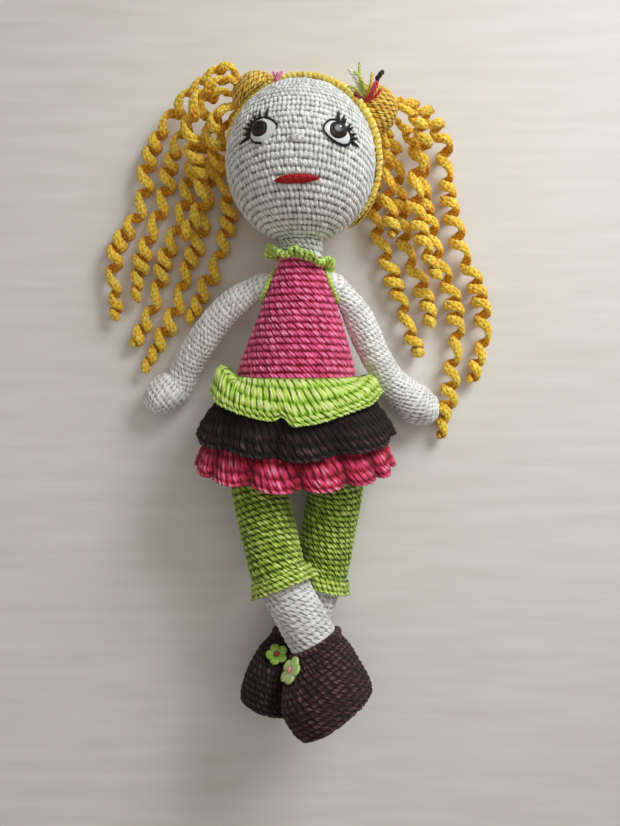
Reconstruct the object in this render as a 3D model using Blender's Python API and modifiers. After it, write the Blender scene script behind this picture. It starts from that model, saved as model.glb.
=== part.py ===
"""A stuffed crochet doll lying on its back, ankles crossed, with corkscrew pigtails.

Frame: metres, +Z up out of the doll's face, +Y towards its head. The doll lies on z = 0.
Sides are the doll's own, so its right side is at -X.
"""

import math

import bmesh
import bpy
from mathutils import Matrix, Vector

MM = 0.001

# Brings the middle of the doll's box, locks left out, over the origin
MIDDLE_SHIFT = Vector((0.5 * MM, -5 * MM, 0))

# Fit between neighbours
GAP = 0.3 * MM
PADDING_GAP = 0.5 * MM
FABRIC = 2.4 * MM

# Head
HEAD_HALF_WIDTH = 41.5 * MM
HEAD_HALF_HEIGHT = 45 * MM
HEAD_HALF_DEPTH = 41.5 * MM
HEAD_SIDES = 20
HEAD_RINGS = 9
HEAD_X = 5 * MM
HEAD_Y = 136 * MM
NECK_RADIUS = 11 * MM

# Hair
CAP_FABRIC = 2.4 * MM
CAP_EASE = 0.8 * MM
CAP_FLAT_DEPTH = 0.5 * MM
CAP_RIM_AHEAD = -1.5 * MM
CAP_RIM_SLOPE_X = 0.2
CAP_RIM_SLOPE_Y = 0.2
CAP_NAPE_DROP = 34 * MM
CAP_SIDES = 24
CAP_RINGS = 14
BUN_RADIUS = 14 * MM
BUN_BEHIND_CENTRE = 6 * MM
RIGHT_BUN_OUT_SHARE = 0.5904
RIGHT_BUN_UP_SHARE = 0.8556
LEFT_BUN_OUT_SHARE = 0.9639
LEFT_BUN_UP_SHARE = 0.6889
CURL_TUBE_RADIUS = 2.6 * MM
CURL_COIL_RADIUS = 3.9 * MM
CURL_PITCH = 25 * MM
CURL_POINTS_A_TURN = 8
CURL_LEAD_SHARE = 4.5
TIE_RADIUS = 1.2 * MM
TIE_LEAN = 0.4
TIE_RISE = 0.25
RIGHT_TIE_LENGTH = 9 * MM
LEFT_TIE_LENGTH = 15 * MM

# Face
EYE_SPACING = 41 * MM
EYE_HEIGHT = 8.5 * MM
EYE_RADIUS = 7.6 * MM
EYE_TALL_SHARE = 0.84
EYE_PLATE = 1.0 * MM
IRIS_RADIUS = 5.4 * MM
IRIS_PLATE = 0.9 * MM
IRIS_OUT = 0.9 * MM
THREAD = 0.9 * MM
LASH_LENGTH = 4.6 * MM
LASH_COUNT = 8
NOSE_HALF_WIDTH = 4.6 * MM
NOSE_HALF_HEIGHT = 1.9 * MM
NOSE_PROUD = 1.4 * MM
NOSE_HEIGHT = 1.0 * MM
MOUTH_HALF_WIDTH = 11.8 * MM
MOUTH_HALF_HEIGHT = 2.2 * MM
MOUTH_DROP = 17.6 * MM
MOUTH_ASIDE = 1.8 * MM
MOUTH_PROUD = 1.1 * MM

# Torso
TORSO_LENGTH = 100.3 * MM
WAIST_HALF_WIDTH = 33.5 * MM
WAIST_HALF_DEPTH = 24.5 * MM
TORSO_BACK_HEIGHT = 7.5 * MM
TORSO_SIDES = 20
TORSO_SHIFT_X = -3.8 * MM
SHOULDER_DROP = 24 * MM
SHOULDER_PRESS = 1.6 * MM
SHOULDER_LOW = 3 * MM
SHOULDER_TILT = math.radians(21.8)

# Collar and armholes
COLLAR_DROP = 9 * MM
COLLAR_HALF_WIDTH = 19 * MM
COLLAR_HALF_DEPTH = 17.5 * MM
COLLAR_BAND = 2.3 * MM
COLLAR_TILT = math.radians(13)
COLLAR_RUFFLE = 1.5 * MM
TRIM_RADIUS = 1.1 * MM

# Skirt
TIER_FABRIC = 2.0 * MM
TIER_STACK = 2.3 * MM
FLUTES = 12
FLUTE_DEPTH = 3.4 * MM
TIER_COLUMNS = 48
TIER_ROWS = 3
GREEN_TOP = 25 * MM
GREEN_LENGTH = 27 * MM
GREEN_SIDE_RISE = 15 * MM
GREEN_HALF_WIDTH = 50 * MM
GREEN_HALF_DEPTH = 34.5 * MM
BROWN_TOP = 17 * MM
BROWN_LENGTH = 37 * MM
BROWN_SIDE_RISE = 10 * MM
BROWN_HALF_WIDTH = 54.5 * MM
BROWN_HALF_DEPTH = 32 * MM
PINK_TOP = 9 * MM
PINK_LENGTH = 45 * MM
PINK_SIDE_RISE = 8 * MM
PINK_HALF_WIDTH = 53.5 * MM
PINK_HALF_DEPTH = 28.4 * MM

# Arms
ARM_LENGTH = 100 * MM
ARM_RADIUS = 8.7 * MM
ARM_SIDES = 12

# Legs
HIP_SPACING = 40 * MM
HIP_CENTRE_X = 2.5 * MM
HIP_HEIGHT = 30 * MM
THIGH_RADIUS = 17 * MM
LEG_LENGTH = 106 * MM
LEG_RADIUS = 15.4 * MM
ANKLE_RADIUS = 13.5 * MM
LEG_SIDES = 14
CUFF_FLARE = 1.8 * MM
CUFF_LENGTH = 8 * MM
CUFF_FABRIC = 1.6 * MM
SHOE_HALF_WIDTH = 18 * MM
SHOE_HALF_LENGTH = 28.5 * MM
SHOE_HEIGHT = 41 * MM
SHOE_TOE_SHIFT = 10.5 * MM
SHOE_SIDES = 16
RIGHT_TOE_TURN = math.radians(46)
LEFT_TOE_TURN = math.radians(19)
FLOWER_RADIUS = 7.2 * MM
FLOWER_THICKNESS = 1.6 * MM
FLOWER_CENTRE_RADIUS = 1.8 * MM
PETALS = 5

# Places that follow from the sizes above
HEAD_Z = HEAD_HALF_DEPTH + CAP_EASE + CAP_FABRIC - CAP_FLAT_DEPTH
HEAD = Vector((HEAD_X, HEAD_Y, HEAD_Z))
NECK_PLANE_DROP = HEAD_HALF_HEIGHT * math.sqrt(1 - (NECK_RADIUS / HEAD_HALF_WIDTH) ** 2)
NECK_TOP_Y = HEAD_Y - NECK_PLANE_DROP - GAP
TORSO_BOTTOM_Y = NECK_TOP_Y - TORSO_LENGTH
WAIST_Z = TORSO_BACK_HEIGHT + WAIST_HALF_DEPTH

CREAM = (0.72, 0.69, 0.60)
YELLOW = (0.84, 0.42, 0.03)
PINK = (0.60, 0.06, 0.16)
GREEN = (0.34, 0.50, 0.06)
LEG_GREEN = (0.22, 0.36, 0.03)
BROWN = (0.05, 0.02, 0.02)
WHITE = (0.85, 0.85, 0.84)
BLACK = (0.01, 0.01, 0.012)
RED = (0.45, 0.01, 0.02)
FIBRE = (0.88, 0.88, 0.86)
PETAL = (0.45, 0.65, 0.20)


def clear_scene():
    for item in list(bpy.data.objects):
        bpy.data.objects.remove(item, do_unlink=True)


def new_collection(name):
    group = bpy.data.collections.new(name)
    bpy.context.scene.collection.children.link(group)
    return group


def fabric(name, colour, roughness=0.9):
    made = bpy.data.materials.new(name)
    made.use_nodes = True
    shader = made.node_tree.nodes["Principled BSDF"]
    shader.inputs["Base Color"].default_value = (*colour, 1.0)
    shader.inputs["Roughness"].default_value = roughness
    shader.inputs["Metallic"].default_value = 0.0
    made.diffuse_color = (*colour, 1.0)
    return made


def add_object(name, mesh, look, group):
    made = bpy.data.objects.new(name, mesh)
    mesh.materials.append(look)
    group.objects.link(made)
    mesh.shade_smooth()
    return made


def ring(centre, along, wide, deep, sides, roll=0.0):
    """Points of an ellipse square to along. At no roll, wide is level and deep points up."""
    side = Vector((0, 0, 1)).cross(along).normalized()
    up = along.cross(side).normalized()
    first = side * math.cos(roll) + up * math.sin(roll)
    second = up * math.cos(roll) - side * math.sin(roll)
    points = []
    for step in range(sides):
        turn = math.tau * step / sides - roll
        points.append(centre + first * wide * math.cos(turn) + second * deep * math.sin(turn))
    return points


def press(rings, place, normal):
    """Flattens what reaches past a plane, as a soft piece flattens on what it lies on."""
    for points in rings:
        for index, point in enumerate(points):
            depth = (point - place).dot(normal)
            if depth < 0:
                points[index] = point - normal * depth


def loft(name, rings, look, group, start="flat", end="flat"):
    """A solid through rings of points. An end is flat or drawn in to a point."""
    shape = bmesh.new()
    loops = [[shape.verts.new(point) for point in points] for points in rings]
    for low, high in zip(loops, loops[1:]):
        for a, b in zip(range(len(low)), [*range(1, len(low)), 0]):
            shape.faces.new((low[a], low[b], high[b], high[a]))
    for loop, close, first in ((loops[0], start, True), (loops[-1], end, False)):
        order = list(reversed(loop)) if first else loop
        if isinstance(close, Vector):
            tip = shape.verts.new(close)
            for a, b in zip(order, [*order[1:], order[0]]):
                shape.faces.new((a, b, tip))
        else:
            shape.faces.new(order)
    mesh = bpy.data.meshes.new(name)
    shape.to_mesh(mesh)
    shape.free()
    return add_object(name, mesh, look, group)


def shell(name, outer, inner, look, group, tip=None, inner_tip=None, tip_last=False):
    """A fabric wall between two lofts. It is open at both ends, or drawn in to a point at one."""
    shape = bmesh.new()
    walls = []
    for rings, point in ((outer, tip), (inner, inner_tip)):
        loops = [[shape.verts.new(spot) for spot in points] for points in rings]
        for low, high in zip(loops, loops[1:]):
            for a, b in zip(range(len(low)), [*range(1, len(low)), 0]):
                shape.faces.new((low[a], low[b], high[b], high[a]))
        if point is not None:
            close = shape.verts.new(point)
            loop = loops[-1] if tip_last else loops[0]
            for a, b in zip(loop, [*loop[1:], loop[0]]):
                shape.faces.new((a, b, close))
        walls.append(loops)
    rims = (0, -1) if tip is None else ((0,) if tip_last else (-1,))
    for end in rims:
        low, high = walls[0][end], walls[1][end]
        for a, b in zip(range(len(low)), [*range(1, len(low)), 0]):
            shape.faces.new((low[a], low[b], high[b], high[a]))
    bmesh.ops.recalc_face_normals(shape, faces=shape.faces)
    mesh = bpy.data.meshes.new(name)
    shape.to_mesh(mesh)
    shape.free()
    return add_object(name, mesh, look, group)


def solidify(made, thickness, offset=-1.0):
    skin = made.modifiers.new("Fabric", "SOLIDIFY")
    skin.thickness = thickness
    skin.offset = offset
    skin.use_even_offset = True


def frames(places):
    """The direction at each place along a path."""
    found = []
    for index in range(len(places)):
        before = places[max(index - 1, 0)]
        after = places[min(index + 1, len(places) - 1)]
        found.append((after - before).normalized())
    return found


def smooth_path(points, spacing):
    """Even steps along a Catmull-Rom curve through the points."""
    ends = [points[0] * 2 - points[1], *points, points[-1] * 2 - points[-2]]
    fine = []
    pieces = 12
    for a, b, c, d in zip(ends, ends[1:], ends[2:], ends[3:]):
        for step in range(pieces):
            t = step / pieces
            fine.append(0.5 * (b * 2 + (c - a) * t + (a * 2 - b * 5 + c * 4 - d) * t ** 2
                               + (b * 3 - a - c * 3 + d) * t ** 3))
    fine.append(points[-1])
    reach = [0.0]
    for a, b in zip(fine, fine[1:]):
        reach.append(reach[-1] + (b - a).length)
    count = max(2, round(reach[-1] / spacing))
    even, at = [], 0
    for step in range(count + 1):
        goal = reach[-1] * step / count
        while at < len(reach) - 2 and reach[at + 1] < goal:
            at += 1
        share = (goal - reach[at]) / max(reach[at + 1] - reach[at], 1e-9)
        even.append(fine[at].lerp(fine[at + 1], share))
    return even


def tube(name, points, radius, look, group, resolution=1):
    """A closed mesh tube along a poly line."""
    line = bpy.data.curves.new(name, "CURVE")
    line.dimensions = "3D"
    line.bevel_depth = radius
    line.bevel_resolution = resolution
    line.render_resolution_u = 0
    line.use_fill_caps = True
    spline = line.splines.new("POLY")
    spline.points.add(len(points) - 1)
    for spot, point in zip(spline.points, points):
        spot.co = (*point, 1.0)
    line.materials.append(look)
    made = bpy.data.objects.new(name, line)
    group.objects.link(made)
    return made


def head_surface(across, up, lift=0.0):
    """A point over the face, by its level place from the head's middle."""
    share = 1 - (across / HEAD_HALF_WIDTH) ** 2 - (up / HEAD_HALF_HEIGHT) ** 2
    out = HEAD_HALF_DEPTH * math.sqrt(max(share, 0.0))
    normal = Vector((across / HEAD_HALF_WIDTH ** 2, up / HEAD_HALF_HEIGHT ** 2,
                     out / HEAD_HALF_DEPTH ** 2)).normalized()
    return HEAD + Vector((across, up, out)) + normal * lift


def head_rings(shrink):
    """Rings from the neck opening to the crown, drawn in by shrink."""
    wide, tall, deep = (HEAD_HALF_WIDTH - shrink, HEAD_HALF_HEIGHT - shrink, HEAD_HALF_DEPTH - shrink)
    start = math.asin(max(-1.0, -NECK_PLANE_DROP / HEAD_HALF_HEIGHT))
    rings = []
    for step in range(HEAD_RINGS):
        turn = start + (math.pi / 2 - start) * step / HEAD_RINGS
        size = math.cos(turn)
        centre = HEAD + Vector((0, tall * math.sin(turn), 0))
        rings.append(ring(centre, Vector((0, 1, 0)), wide * size, deep * size, HEAD_SIDES))
    return rings, HEAD + Vector((0, tall, 0))


def make_head(looks, group):
    outer, crown = head_rings(0.0)
    inner, inner_crown = head_rings(FABRIC)
    shell("head_shell", outer, inner, looks["cream"], group, crown, inner_crown, tip_last=True)
    rings, crown = head_rings(FABRIC + PADDING_GAP)
    loft("head_stuffing", rings, looks["fibre"], group, end=crown)


def ellipsoid(name, centre, radii, look, group, across=16, rings=10):
    shape = bmesh.new()
    bmesh.ops.create_uvsphere(shape, u_segments=across, v_segments=rings, radius=1.0)
    bmesh.ops.transform(shape, matrix=Matrix.Diagonal((*radii, 1.0)), verts=shape.verts)
    mesh = bpy.data.meshes.new(name)
    shape.to_mesh(mesh)
    shape.free()
    made = add_object(name, mesh, look, group)
    made.location = centre
    return made


def make_cutter(made, cutters):
    made.hide_render = True
    made.display_type = "WIRE"
    for group in list(made.users_collection):
        group.objects.unlink(made)
    cutters.objects.link(made)
    return made


def cut(made, cutter):
    trim = made.modifiers.new("Cut", "BOOLEAN")
    trim.operation = "DIFFERENCE"
    trim.solver = "EXACT"
    trim.object = cutter


def make_hair(looks, group, cutters):
    reach = CAP_EASE + CAP_FABRIC
    radii = (HEAD_HALF_WIDTH + reach, HEAD_HALF_HEIGHT + reach, HEAD_HALF_DEPTH + reach)
    shape = bmesh.new()
    bmesh.ops.create_uvsphere(shape, u_segments=CAP_SIDES, v_segments=CAP_RINGS, radius=1.0)
    bmesh.ops.transform(shape, matrix=Matrix.Diagonal((*radii, 1.0)), verts=shape.verts)
    rim = Vector((-CAP_RIM_SLOPE_X, -CAP_RIM_SLOPE_Y, 1)).normalized()
    nape = Vector((0, -1, 0))
    for place, normal in ((Vector((0, 0, CAP_RIM_AHEAD)), rim), (nape * CAP_NAPE_DROP, nape)):
        everything = [*shape.verts, *shape.edges, *shape.faces]
        bmesh.ops.bisect_plane(shape, geom=everything, plane_co=place, plane_no=normal, clear_outer=True)
    bmesh.ops.remove_doubles(shape, verts=shape.verts, dist=GAP)
    for vert in shape.verts:
        vert.co.z = max(vert.co.z, -HEAD_Z)
    mesh = bpy.data.meshes.new("hair_cap")
    shape.to_mesh(mesh)
    shape.free()
    cap = add_object("hair_cap", mesh, looks["yellow"], group)
    cap.location = HEAD
    solidify(cap, CAP_FABRIC)
    cap_space = ellipsoid("cap_space", HEAD, [size + GAP for size in radii], looks["yellow"], group,
                          CAP_SIDES, CAP_RINGS)
    make_cutter(cap_space, cutters)
    buns = {}
    for side, out_share, up_share in (("right", -RIGHT_BUN_OUT_SHARE, RIGHT_BUN_UP_SHARE),
                                      ("left", LEFT_BUN_OUT_SHARE, LEFT_BUN_UP_SHARE)):
        centre = HEAD + Vector((out_share * HEAD_HALF_WIDTH, up_share * HEAD_HALF_HEIGHT, -BUN_BEHIND_CENTRE))
        bun = ellipsoid(side + "_bun", centre, [BUN_RADIUS] * 3, looks["yellow"], group, 14, 9)
        cut(bun, cap_space)
        buns[side] = centre
    return buns


def face_forward(shape):
    """Turns an open patch over if it faces into the head."""
    shape.normal_update()
    if sum(face.normal.z for face in shape.faces) < 0:
        bmesh.ops.reverse_faces(shape, faces=shape.faces)


def patch(name, outline, lift, height, look, group):
    """A thin piece that follows the face: rows of points by their level places, then a thickness."""
    shape = bmesh.new()
    rows = [[shape.verts.new(head_surface(x, y, lift)) for x, y in row] for row in outline]
    for low, high in zip(rows, rows[1:]):
        for index in range(len(low) - 1):
            shape.faces.new((low[index], low[index + 1], high[index + 1], high[index]))
    bmesh.ops.remove_doubles(shape, verts=shape.verts, dist=GAP / 3)
    face_forward(shape)
    mesh = bpy.data.meshes.new(name)
    shape.to_mesh(mesh)
    shape.free()
    made = add_object(name, mesh, look, group)
    solidify(made, height, offset=1.0)
    return made


def make_face(looks, group):
    for side, sign in (("right", -1), ("left", 1)):
        centre_x, centre_y = sign * EYE_SPACING / 2, EYE_HEIGHT
        disc = [[(centre_x + EYE_RADIUS * share * math.cos(turn),
                  centre_y + EYE_RADIUS * EYE_TALL_SHARE * share * math.sin(turn))
                 for turn in circle(16)] for share in (0.0, 0.5, 1.0)]
        patch(side + "_eye_white", disc, GAP, EYE_PLATE, looks["white"], group)
        iris = [[(centre_x + sign * IRIS_OUT + IRIS_RADIUS * share * math.cos(turn),
                  centre_y + IRIS_RADIUS * share * math.sin(turn))
                 for turn in circle(14)] for share in (0.0, 0.55, 1.0)]
        patch(side + "_iris", iris, EYE_PLATE + 2 * GAP, IRIS_PLATE, looks["black"], group)
        make_lashes(side, sign, centre_x, centre_y, looks["thread"], group)
    nose = [[(NOSE_HALF_WIDTH * share * math.cos(turn), NOSE_HEIGHT + NOSE_HALF_HEIGHT * share * math.sin(turn))
             for turn in circle(10)] for share in (0.0, 0.5, 1.0)]
    patch("nose", nose, GAP, NOSE_PROUD, looks["cream"], group)
    rows = []
    for side in (-1, 0, 1):
        row = []
        for step in range(-6, 7):
            share = step / 6
            tall = MOUTH_HALF_HEIGHT * (1 - share ** 2)
            row.append((share * MOUTH_HALF_WIDTH - MOUTH_ASIDE, side * tall - MOUTH_DROP))
        rows.append(row)
    patch("mouth", rows, GAP, MOUTH_PROUD, looks["red"], group)


def circle(steps):
    """Angles all the way round, with the first again at the end."""
    return [math.tau * step / steps for step in range(steps + 1)]


def make_lashes(side, sign, centre_x, centre_y, look, group):
    """The thread line over the eye, with its lashes fanned from it."""
    inner = EYE_RADIUS + GAP
    outer = inner + THREAD
    shape = bmesh.new()

    def spot(reach, turn):
        x = centre_x + sign * reach * math.cos(turn)
        y = centre_y + reach * EYE_TALL_SHARE * math.sin(turn)
        return shape.verts.new(head_surface(x, y, GAP))

    steps = 2 * LASH_COUNT + 4
    first, last = math.radians(-35), math.radians(165)
    turns = [first + (last - first) * step / steps for step in range(steps + 1)]
    band = [(spot(inner, turn), spot(outer, turn)) for turn in turns]
    for (a, b), (c, d) in zip(band, band[1:]):
        shape.faces.new((a, b, d, c))
    for lash in range(LASH_COUNT):
        step = 2 + 2 * lash
        middle = (turns[step] + turns[step + 1]) / 2
        tip = outer + LASH_LENGTH
        root, next_root = band[step][1], band[step + 1][1]
        spread = THREAD / 4 / tip
        shape.faces.new((root, spot(tip, middle - spread), spot(tip, middle + spread), next_root))
    bmesh.ops.recalc_face_normals(shape, faces=shape.faces)
    face_forward(shape)
    mesh = bpy.data.meshes.new(side + "_lashes")
    shape.to_mesh(mesh)
    shape.free()
    solidify(add_object(side + "_lashes", mesh, look, group), THREAD, offset=1.0)


# Rows from the seat to the neck: place up the torso, width, depth, and rise of the middle, as shares
TORSO_SHARES = (
    (0.0, 0.72, 0.61, 0.0), (0.015, 0.88, 0.84, 0.0), (0.06, 0.98, 0.96, 0.0), (0.12, 1.0, 1.0, 0.0),
    (0.25, 1.0, 1.0, 0.0), (0.35, 0.945, 0.98, 0.08), (0.52, 0.78, 0.86, 0.25), (0.69, 0.61, 0.71, 0.45),
    (0.78, 0.51, 0.62, 0.6), (0.85, 0.42, 0.53, 0.75), (0.92, 0.345, 0.46, 0.9), (1.0, None, None, 1.0),
)


def torso_section(share):
    """The torso's middle and half sizes at a share of its length from the seat."""
    neck_shares = (NECK_RADIUS / WAIST_HALF_WIDTH, NECK_RADIUS / WAIST_HALF_DEPTH)
    rows = [(*row[:1], *neck_shares, row[3]) if row[1] is None else row for row in TORSO_SHARES]
    low = max((row for row in rows if row[0] <= share + 1e-6), key=lambda row: row[0])
    high = min((row for row in rows if row[0] >= share - 1e-6), key=lambda row: row[0])
    span = high[0] - low[0]
    part = (share - low[0]) / span if span else 0.0
    wide, deep, rise = (low[i] + (high[i] - low[i]) * part for i in (1, 2, 3))
    centre = Vector((HEAD_X + TORSO_SHIFT_X * (1 - share), TORSO_BOTTOM_Y + TORSO_LENGTH * share,
                     WAIST_Z + (HEAD_Z - WAIST_Z) * rise))
    return centre, wide * WAIST_HALF_WIDTH, deep * WAIST_HALF_DEPTH


def torso_share(y):
    return min(max((y - TORSO_BOTTOM_Y) / TORSO_LENGTH, 0.0), 1.0)


def shoulder(sign):
    """The middle of an armhole, on the flat where the arm is sewn, and the way it faces."""
    centre, wide, _ = torso_section(torso_share(NECK_TOP_Y - SHOULDER_DROP))
    normal = Vector((sign * math.cos(SHOULDER_TILT), math.sin(SHOULDER_TILT), 0))
    place = centre + Vector((sign * wide, 0, -SHOULDER_LOW)) - normal * SHOULDER_PRESS
    return place, normal


def torso_rings(shrink):
    rings = []
    lowest = TORSO_BOTTOM_Y + shrink
    for row in TORSO_SHARES:
        centre, wide, deep = torso_section(row[0])
        if rings and centre.y < lowest + GAP:
            continue
        centre.y = max(centre.y, lowest)
        rings.append(ring(centre, Vector((0, 1, 0)), wide - shrink, deep - shrink, TORSO_SIDES))
    for sign in (-1, 1):
        place, normal = shoulder(sign)
        press(rings, place - normal * shrink, -normal)
    return rings


def make_torso(looks, group):
    seat, _, _ = torso_section(0.0)
    inner_seat = seat + Vector((0, FABRIC, 0))
    shell("torso_shell", torso_rings(0.0), torso_rings(FABRIC), looks["pink"], group, seat, inner_seat)
    loft("torso_stuffing", torso_rings(FABRIC + PADDING_GAP), looks["fibre"], group)


def closed_band(name, sections, look, group):
    """A band that closes on itself, through sections of points."""
    shape = bmesh.new()
    loops = [[shape.verts.new(point) for point in points] for points in sections]
    for low, high in zip(loops, [*loops[1:], loops[0]]):
        for a, b in zip(range(len(low)), [*range(1, len(low)), 0]):
            shape.faces.new((low[a], low[b], high[b], high[a]))
    bmesh.ops.recalc_face_normals(shape, faces=shape.faces)
    mesh = bpy.data.meshes.new(name)
    shape.to_mesh(mesh)
    shape.free()
    return add_object(name, mesh, look, group)


def make_collar(looks, group):
    """A ruffled band round the neck, lower on the doll's left."""
    middle = NECK_TOP_Y - COLLAR_DROP
    sections = []
    columns = 28
    for step in range(columns):
        turn = math.tau * step / columns
        across = COLLAR_HALF_WIDTH * math.cos(turn)
        y = middle - across * math.tan(COLLAR_TILT)
        centre, wide, deep = torso_section(torso_share(y - COLLAR_RUFFLE))
        out = Vector((math.cos(turn), 0, math.sin(turn)))
        wave = COLLAR_RUFFLE * math.sin(turn * 5)
        inner = Vector((centre.x + (wide + GAP) * out.x, y, centre.z + (deep + GAP) * out.z))
        outer = inner + out * (COLLAR_HALF_WIDTH - wide) + Vector((0, COLLAR_BAND / 2 + wave, 0))
        points = []
        for share, side in ((0.0, 0.4), (0.5, 1.0), (1.0, 0.5), (1.0, -0.5), (0.5, -1.0), (0.0, -0.4)):
            points.append(inner.lerp(outer, share) + Vector((0, side * COLLAR_BAND / 2, 0)))
        sections.append(points)
    closed_band("collar", sections, looks["green"], group)


def make_tier(name, top, length, side_rise, half_width, half_depth, layer, look, group):
    """A gathered tier: it stands off the waist over the next one, flares into flutes, and lies
    flat under the doll. Its hem rises at the sides."""
    y_top = TORSO_BOTTOM_Y + top
    start, wide, deep = torso_section(torso_share(y_top))
    seat = GAP + TIER_FABRIC
    walls = []
    for shrink in (0.0, TIER_FABRIC):
        floor = layer * TIER_STACK + shrink
        rings = []
        for row in range(TIER_ROWS + 1):
            share = row / TIER_ROWS
            across = wide + seat + (half_width - wide - seat) * share ** 0.9 - shrink
            high = deep + seat + (half_depth - deep - seat) * (1 - (1 - share) ** 3) - shrink
            points = []
            for column in range(TIER_COLUMNS):
                turn = math.tau * column / TIER_COLUMNS
                out = FLUTE_DEPTH * share ** 2 * (1 + math.cos(FLUTES * turn)) / 2
                x = start.x + (across + out) * math.cos(turn)
                z = start.z + (high + out) * math.sin(turn)
                y = y_top + (side_rise * math.cos(turn) ** 2 - length) * share
                points.append(Vector((x, y, max(z, floor))))
            rings.append(points)
        walls.append(rings)
    shell(name, walls[0], walls[1], look, group)


def make_skirt(looks, group):
    tiers = (
        ("skirt_tier_green", GREEN_TOP, GREEN_LENGTH, GREEN_SIDE_RISE, GREEN_HALF_WIDTH, GREEN_HALF_DEPTH, "green"),
        ("skirt_tier_brown", BROWN_TOP, BROWN_LENGTH, BROWN_SIDE_RISE, BROWN_HALF_WIDTH, BROWN_HALF_DEPTH, "brown"),
        ("skirt_tier_pink", PINK_TOP, PINK_LENGTH, PINK_SIDE_RISE, PINK_HALF_WIDTH, PINK_HALF_DEPTH, "pink"),
    )
    for layer, (name, *sizes, look) in enumerate(tiers):
        make_tier(name, *sizes, layer, looks[look], group)


# Arm stations: out, up and forward of the armhole as shares of the length, and share of the radius
RIGHT_ARM_SHARES = (
    (-0.097, -0.012, -0.03, 0.8), (-0.166, -0.052, -0.05, 0.9), (-0.254, -0.12, -0.08, 0.955),
    (-0.334, -0.202, -0.12, 0.965), (-0.398, -0.286, -0.16, 1.0), (-0.454, -0.361, -0.195, 1.0),
    (-0.504, -0.448, -0.23, 0.965), (-0.544, -0.527, -0.26, 1.07), (-0.6, -0.574, -0.255, 1.26),
    (-0.663, -0.618, -0.258, 1.17), (-0.704, -0.649, -0.262, 0.86), (-0.735, -0.672, -0.262, 0.0),
)
LEFT_ARM_SHARES = (
    (0.055, -0.01, -0.02, 0.75), (0.101, -0.063, -0.03, 0.8), (0.152, -0.134, -0.05, 0.92),
    (0.191, -0.212, -0.07, 1.0), (0.271, -0.375, -0.12, 0.955), (0.35, -0.5, -0.19, 0.98),
    (0.424, -0.58, -0.24, 1.15), (0.514, -0.65, -0.247, 1.3), (0.577, -0.674, -0.252, 1.2),
    (0.622, -0.677, -0.255, 0.86), (0.654, -0.677, -0.255, 0.0),
)
ARM_ROOT_SHARE = 0.8
ARM_SEAM_RINGS = 4


def arm_rings(sign, shares, shrink):
    """A round root on the armhole's flat, then the arm, which leans over the edging round the root."""
    place, normal = shoulder(sign)
    clear = place + normal * (2 * GAP + 2 * TRIM_RADIUS + shrink)
    centres = [place + normal * GAP, clear, *[place + Vector(row[:3]) * ARM_LENGTH for row in shares]]
    along = frames(centres)
    along[:2] = [normal, normal]
    sizes = [ARM_ROOT_SHARE, ARM_ROOT_SHARE, *[row[3] for row in shares]]
    rings = []
    for centre, way, share in zip(centres[:-1], along, sizes):
        size = share * ARM_RADIUS - shrink
        rings.append(ring(centre, way, size, size, ARM_SIDES))
    press(rings[2:], clear, normal)
    press(rings, Vector((0, 0, shrink)), Vector((0, 0, 1)))
    return rings, centres[-1] - along[-1] * shrink


def make_arms(looks, group):
    for side, sign, shares in (("right", -1, RIGHT_ARM_SHARES), ("left", 1, LEFT_ARM_SHARES)):
        outer, tip = arm_rings(sign, shares, 0.0)
        inner, inner_tip = arm_rings(sign, shares, FABRIC)
        shell(side + "_arm", outer, inner, looks["cream"], group, tip, inner_tip, tip_last=True)
        rings, tip = arm_rings(sign, shares, FABRIC + PADDING_GAP)
        loft(side + "_arm_stuffing", rings[ARM_SEAM_RINGS:], looks["fibre"], group, end=tip)
        make_trim(side, sign, looks["green"], group)


def make_trim(side, sign, look, group):
    """The edging of an armhole, a loop on the flat round the arm's root."""
    place, normal = shoulder(sign)
    centre = place + normal * (GAP + TRIM_RADIUS)
    loop = ARM_ROOT_SHARE * ARM_RADIUS + GAP + TRIM_RADIUS * 2
    level = Vector((0, 0, 1)).cross(normal)
    sections = []
    for turn in circle(16)[:-1]:
        out = level * math.cos(turn) + Vector((0, 0, 1)) * math.sin(turn)
        sections.append([centre + out * (loop + TRIM_RADIUS * math.cos(around))
                         + normal * TRIM_RADIUS * math.sin(around) for around in circle(5)[:-1]])
    closed_band(side + "_armhole_trim", sections, look, group)


# Leg stations from the hip: out, up and forward as shares of the length, and share of the radius
RIGHT_LEG_SHARES = (
    (-0.0085, -0.2, 0.047, 1.01), (0.04, -0.412, 0.1, 1.0), (0.085, -0.59, 0.146, 0.99),
    (0.129, -0.7, 0.16, 0.99),
)
LEFT_LEG_SHARES = (
    (0.016, -0.205, -0.057, 1.03), (-0.016, -0.425, -0.099, 1.0), (-0.047, -0.61, -0.12, 1.0),
    (-0.082, -0.742, -0.118, 1.0),
)
RIGHT_ANKLE_SHARES = ((0.2, -0.835, 0.165), (0.279, -0.976, 0.165))
LEFT_ANKLE_SHARES = ((-0.127, -0.88, -0.113), (-0.172, -1.01, -0.11))
DOME_ANGLES = (0.0, 24.0, 46.0, 68.0)
# Shoe rings: place down the shoe, half length, half width and shift to the toe, as shares
SHOE_SHARES = (
    (0.0, 0.51, 0.81, 0.0), (0.12, 0.62, 0.87, 0.24), (0.3, 0.85, 0.97, 0.65), (0.55, 1.0, 1.0, 1.0),
    (0.8, 1.0, 1.0, 1.0), (0.93, 0.95, 0.95, 1.0), (1.0, 0.82, 0.82, 1.0),
)
LEGS = (
    ("right", -1, RIGHT_LEG_SHARES, RIGHT_ANKLE_SHARES, RIGHT_TOE_TURN),
    ("left", 1, LEFT_LEG_SHARES, LEFT_ANKLE_SHARES, LEFT_TOE_TURN),
)


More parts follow.
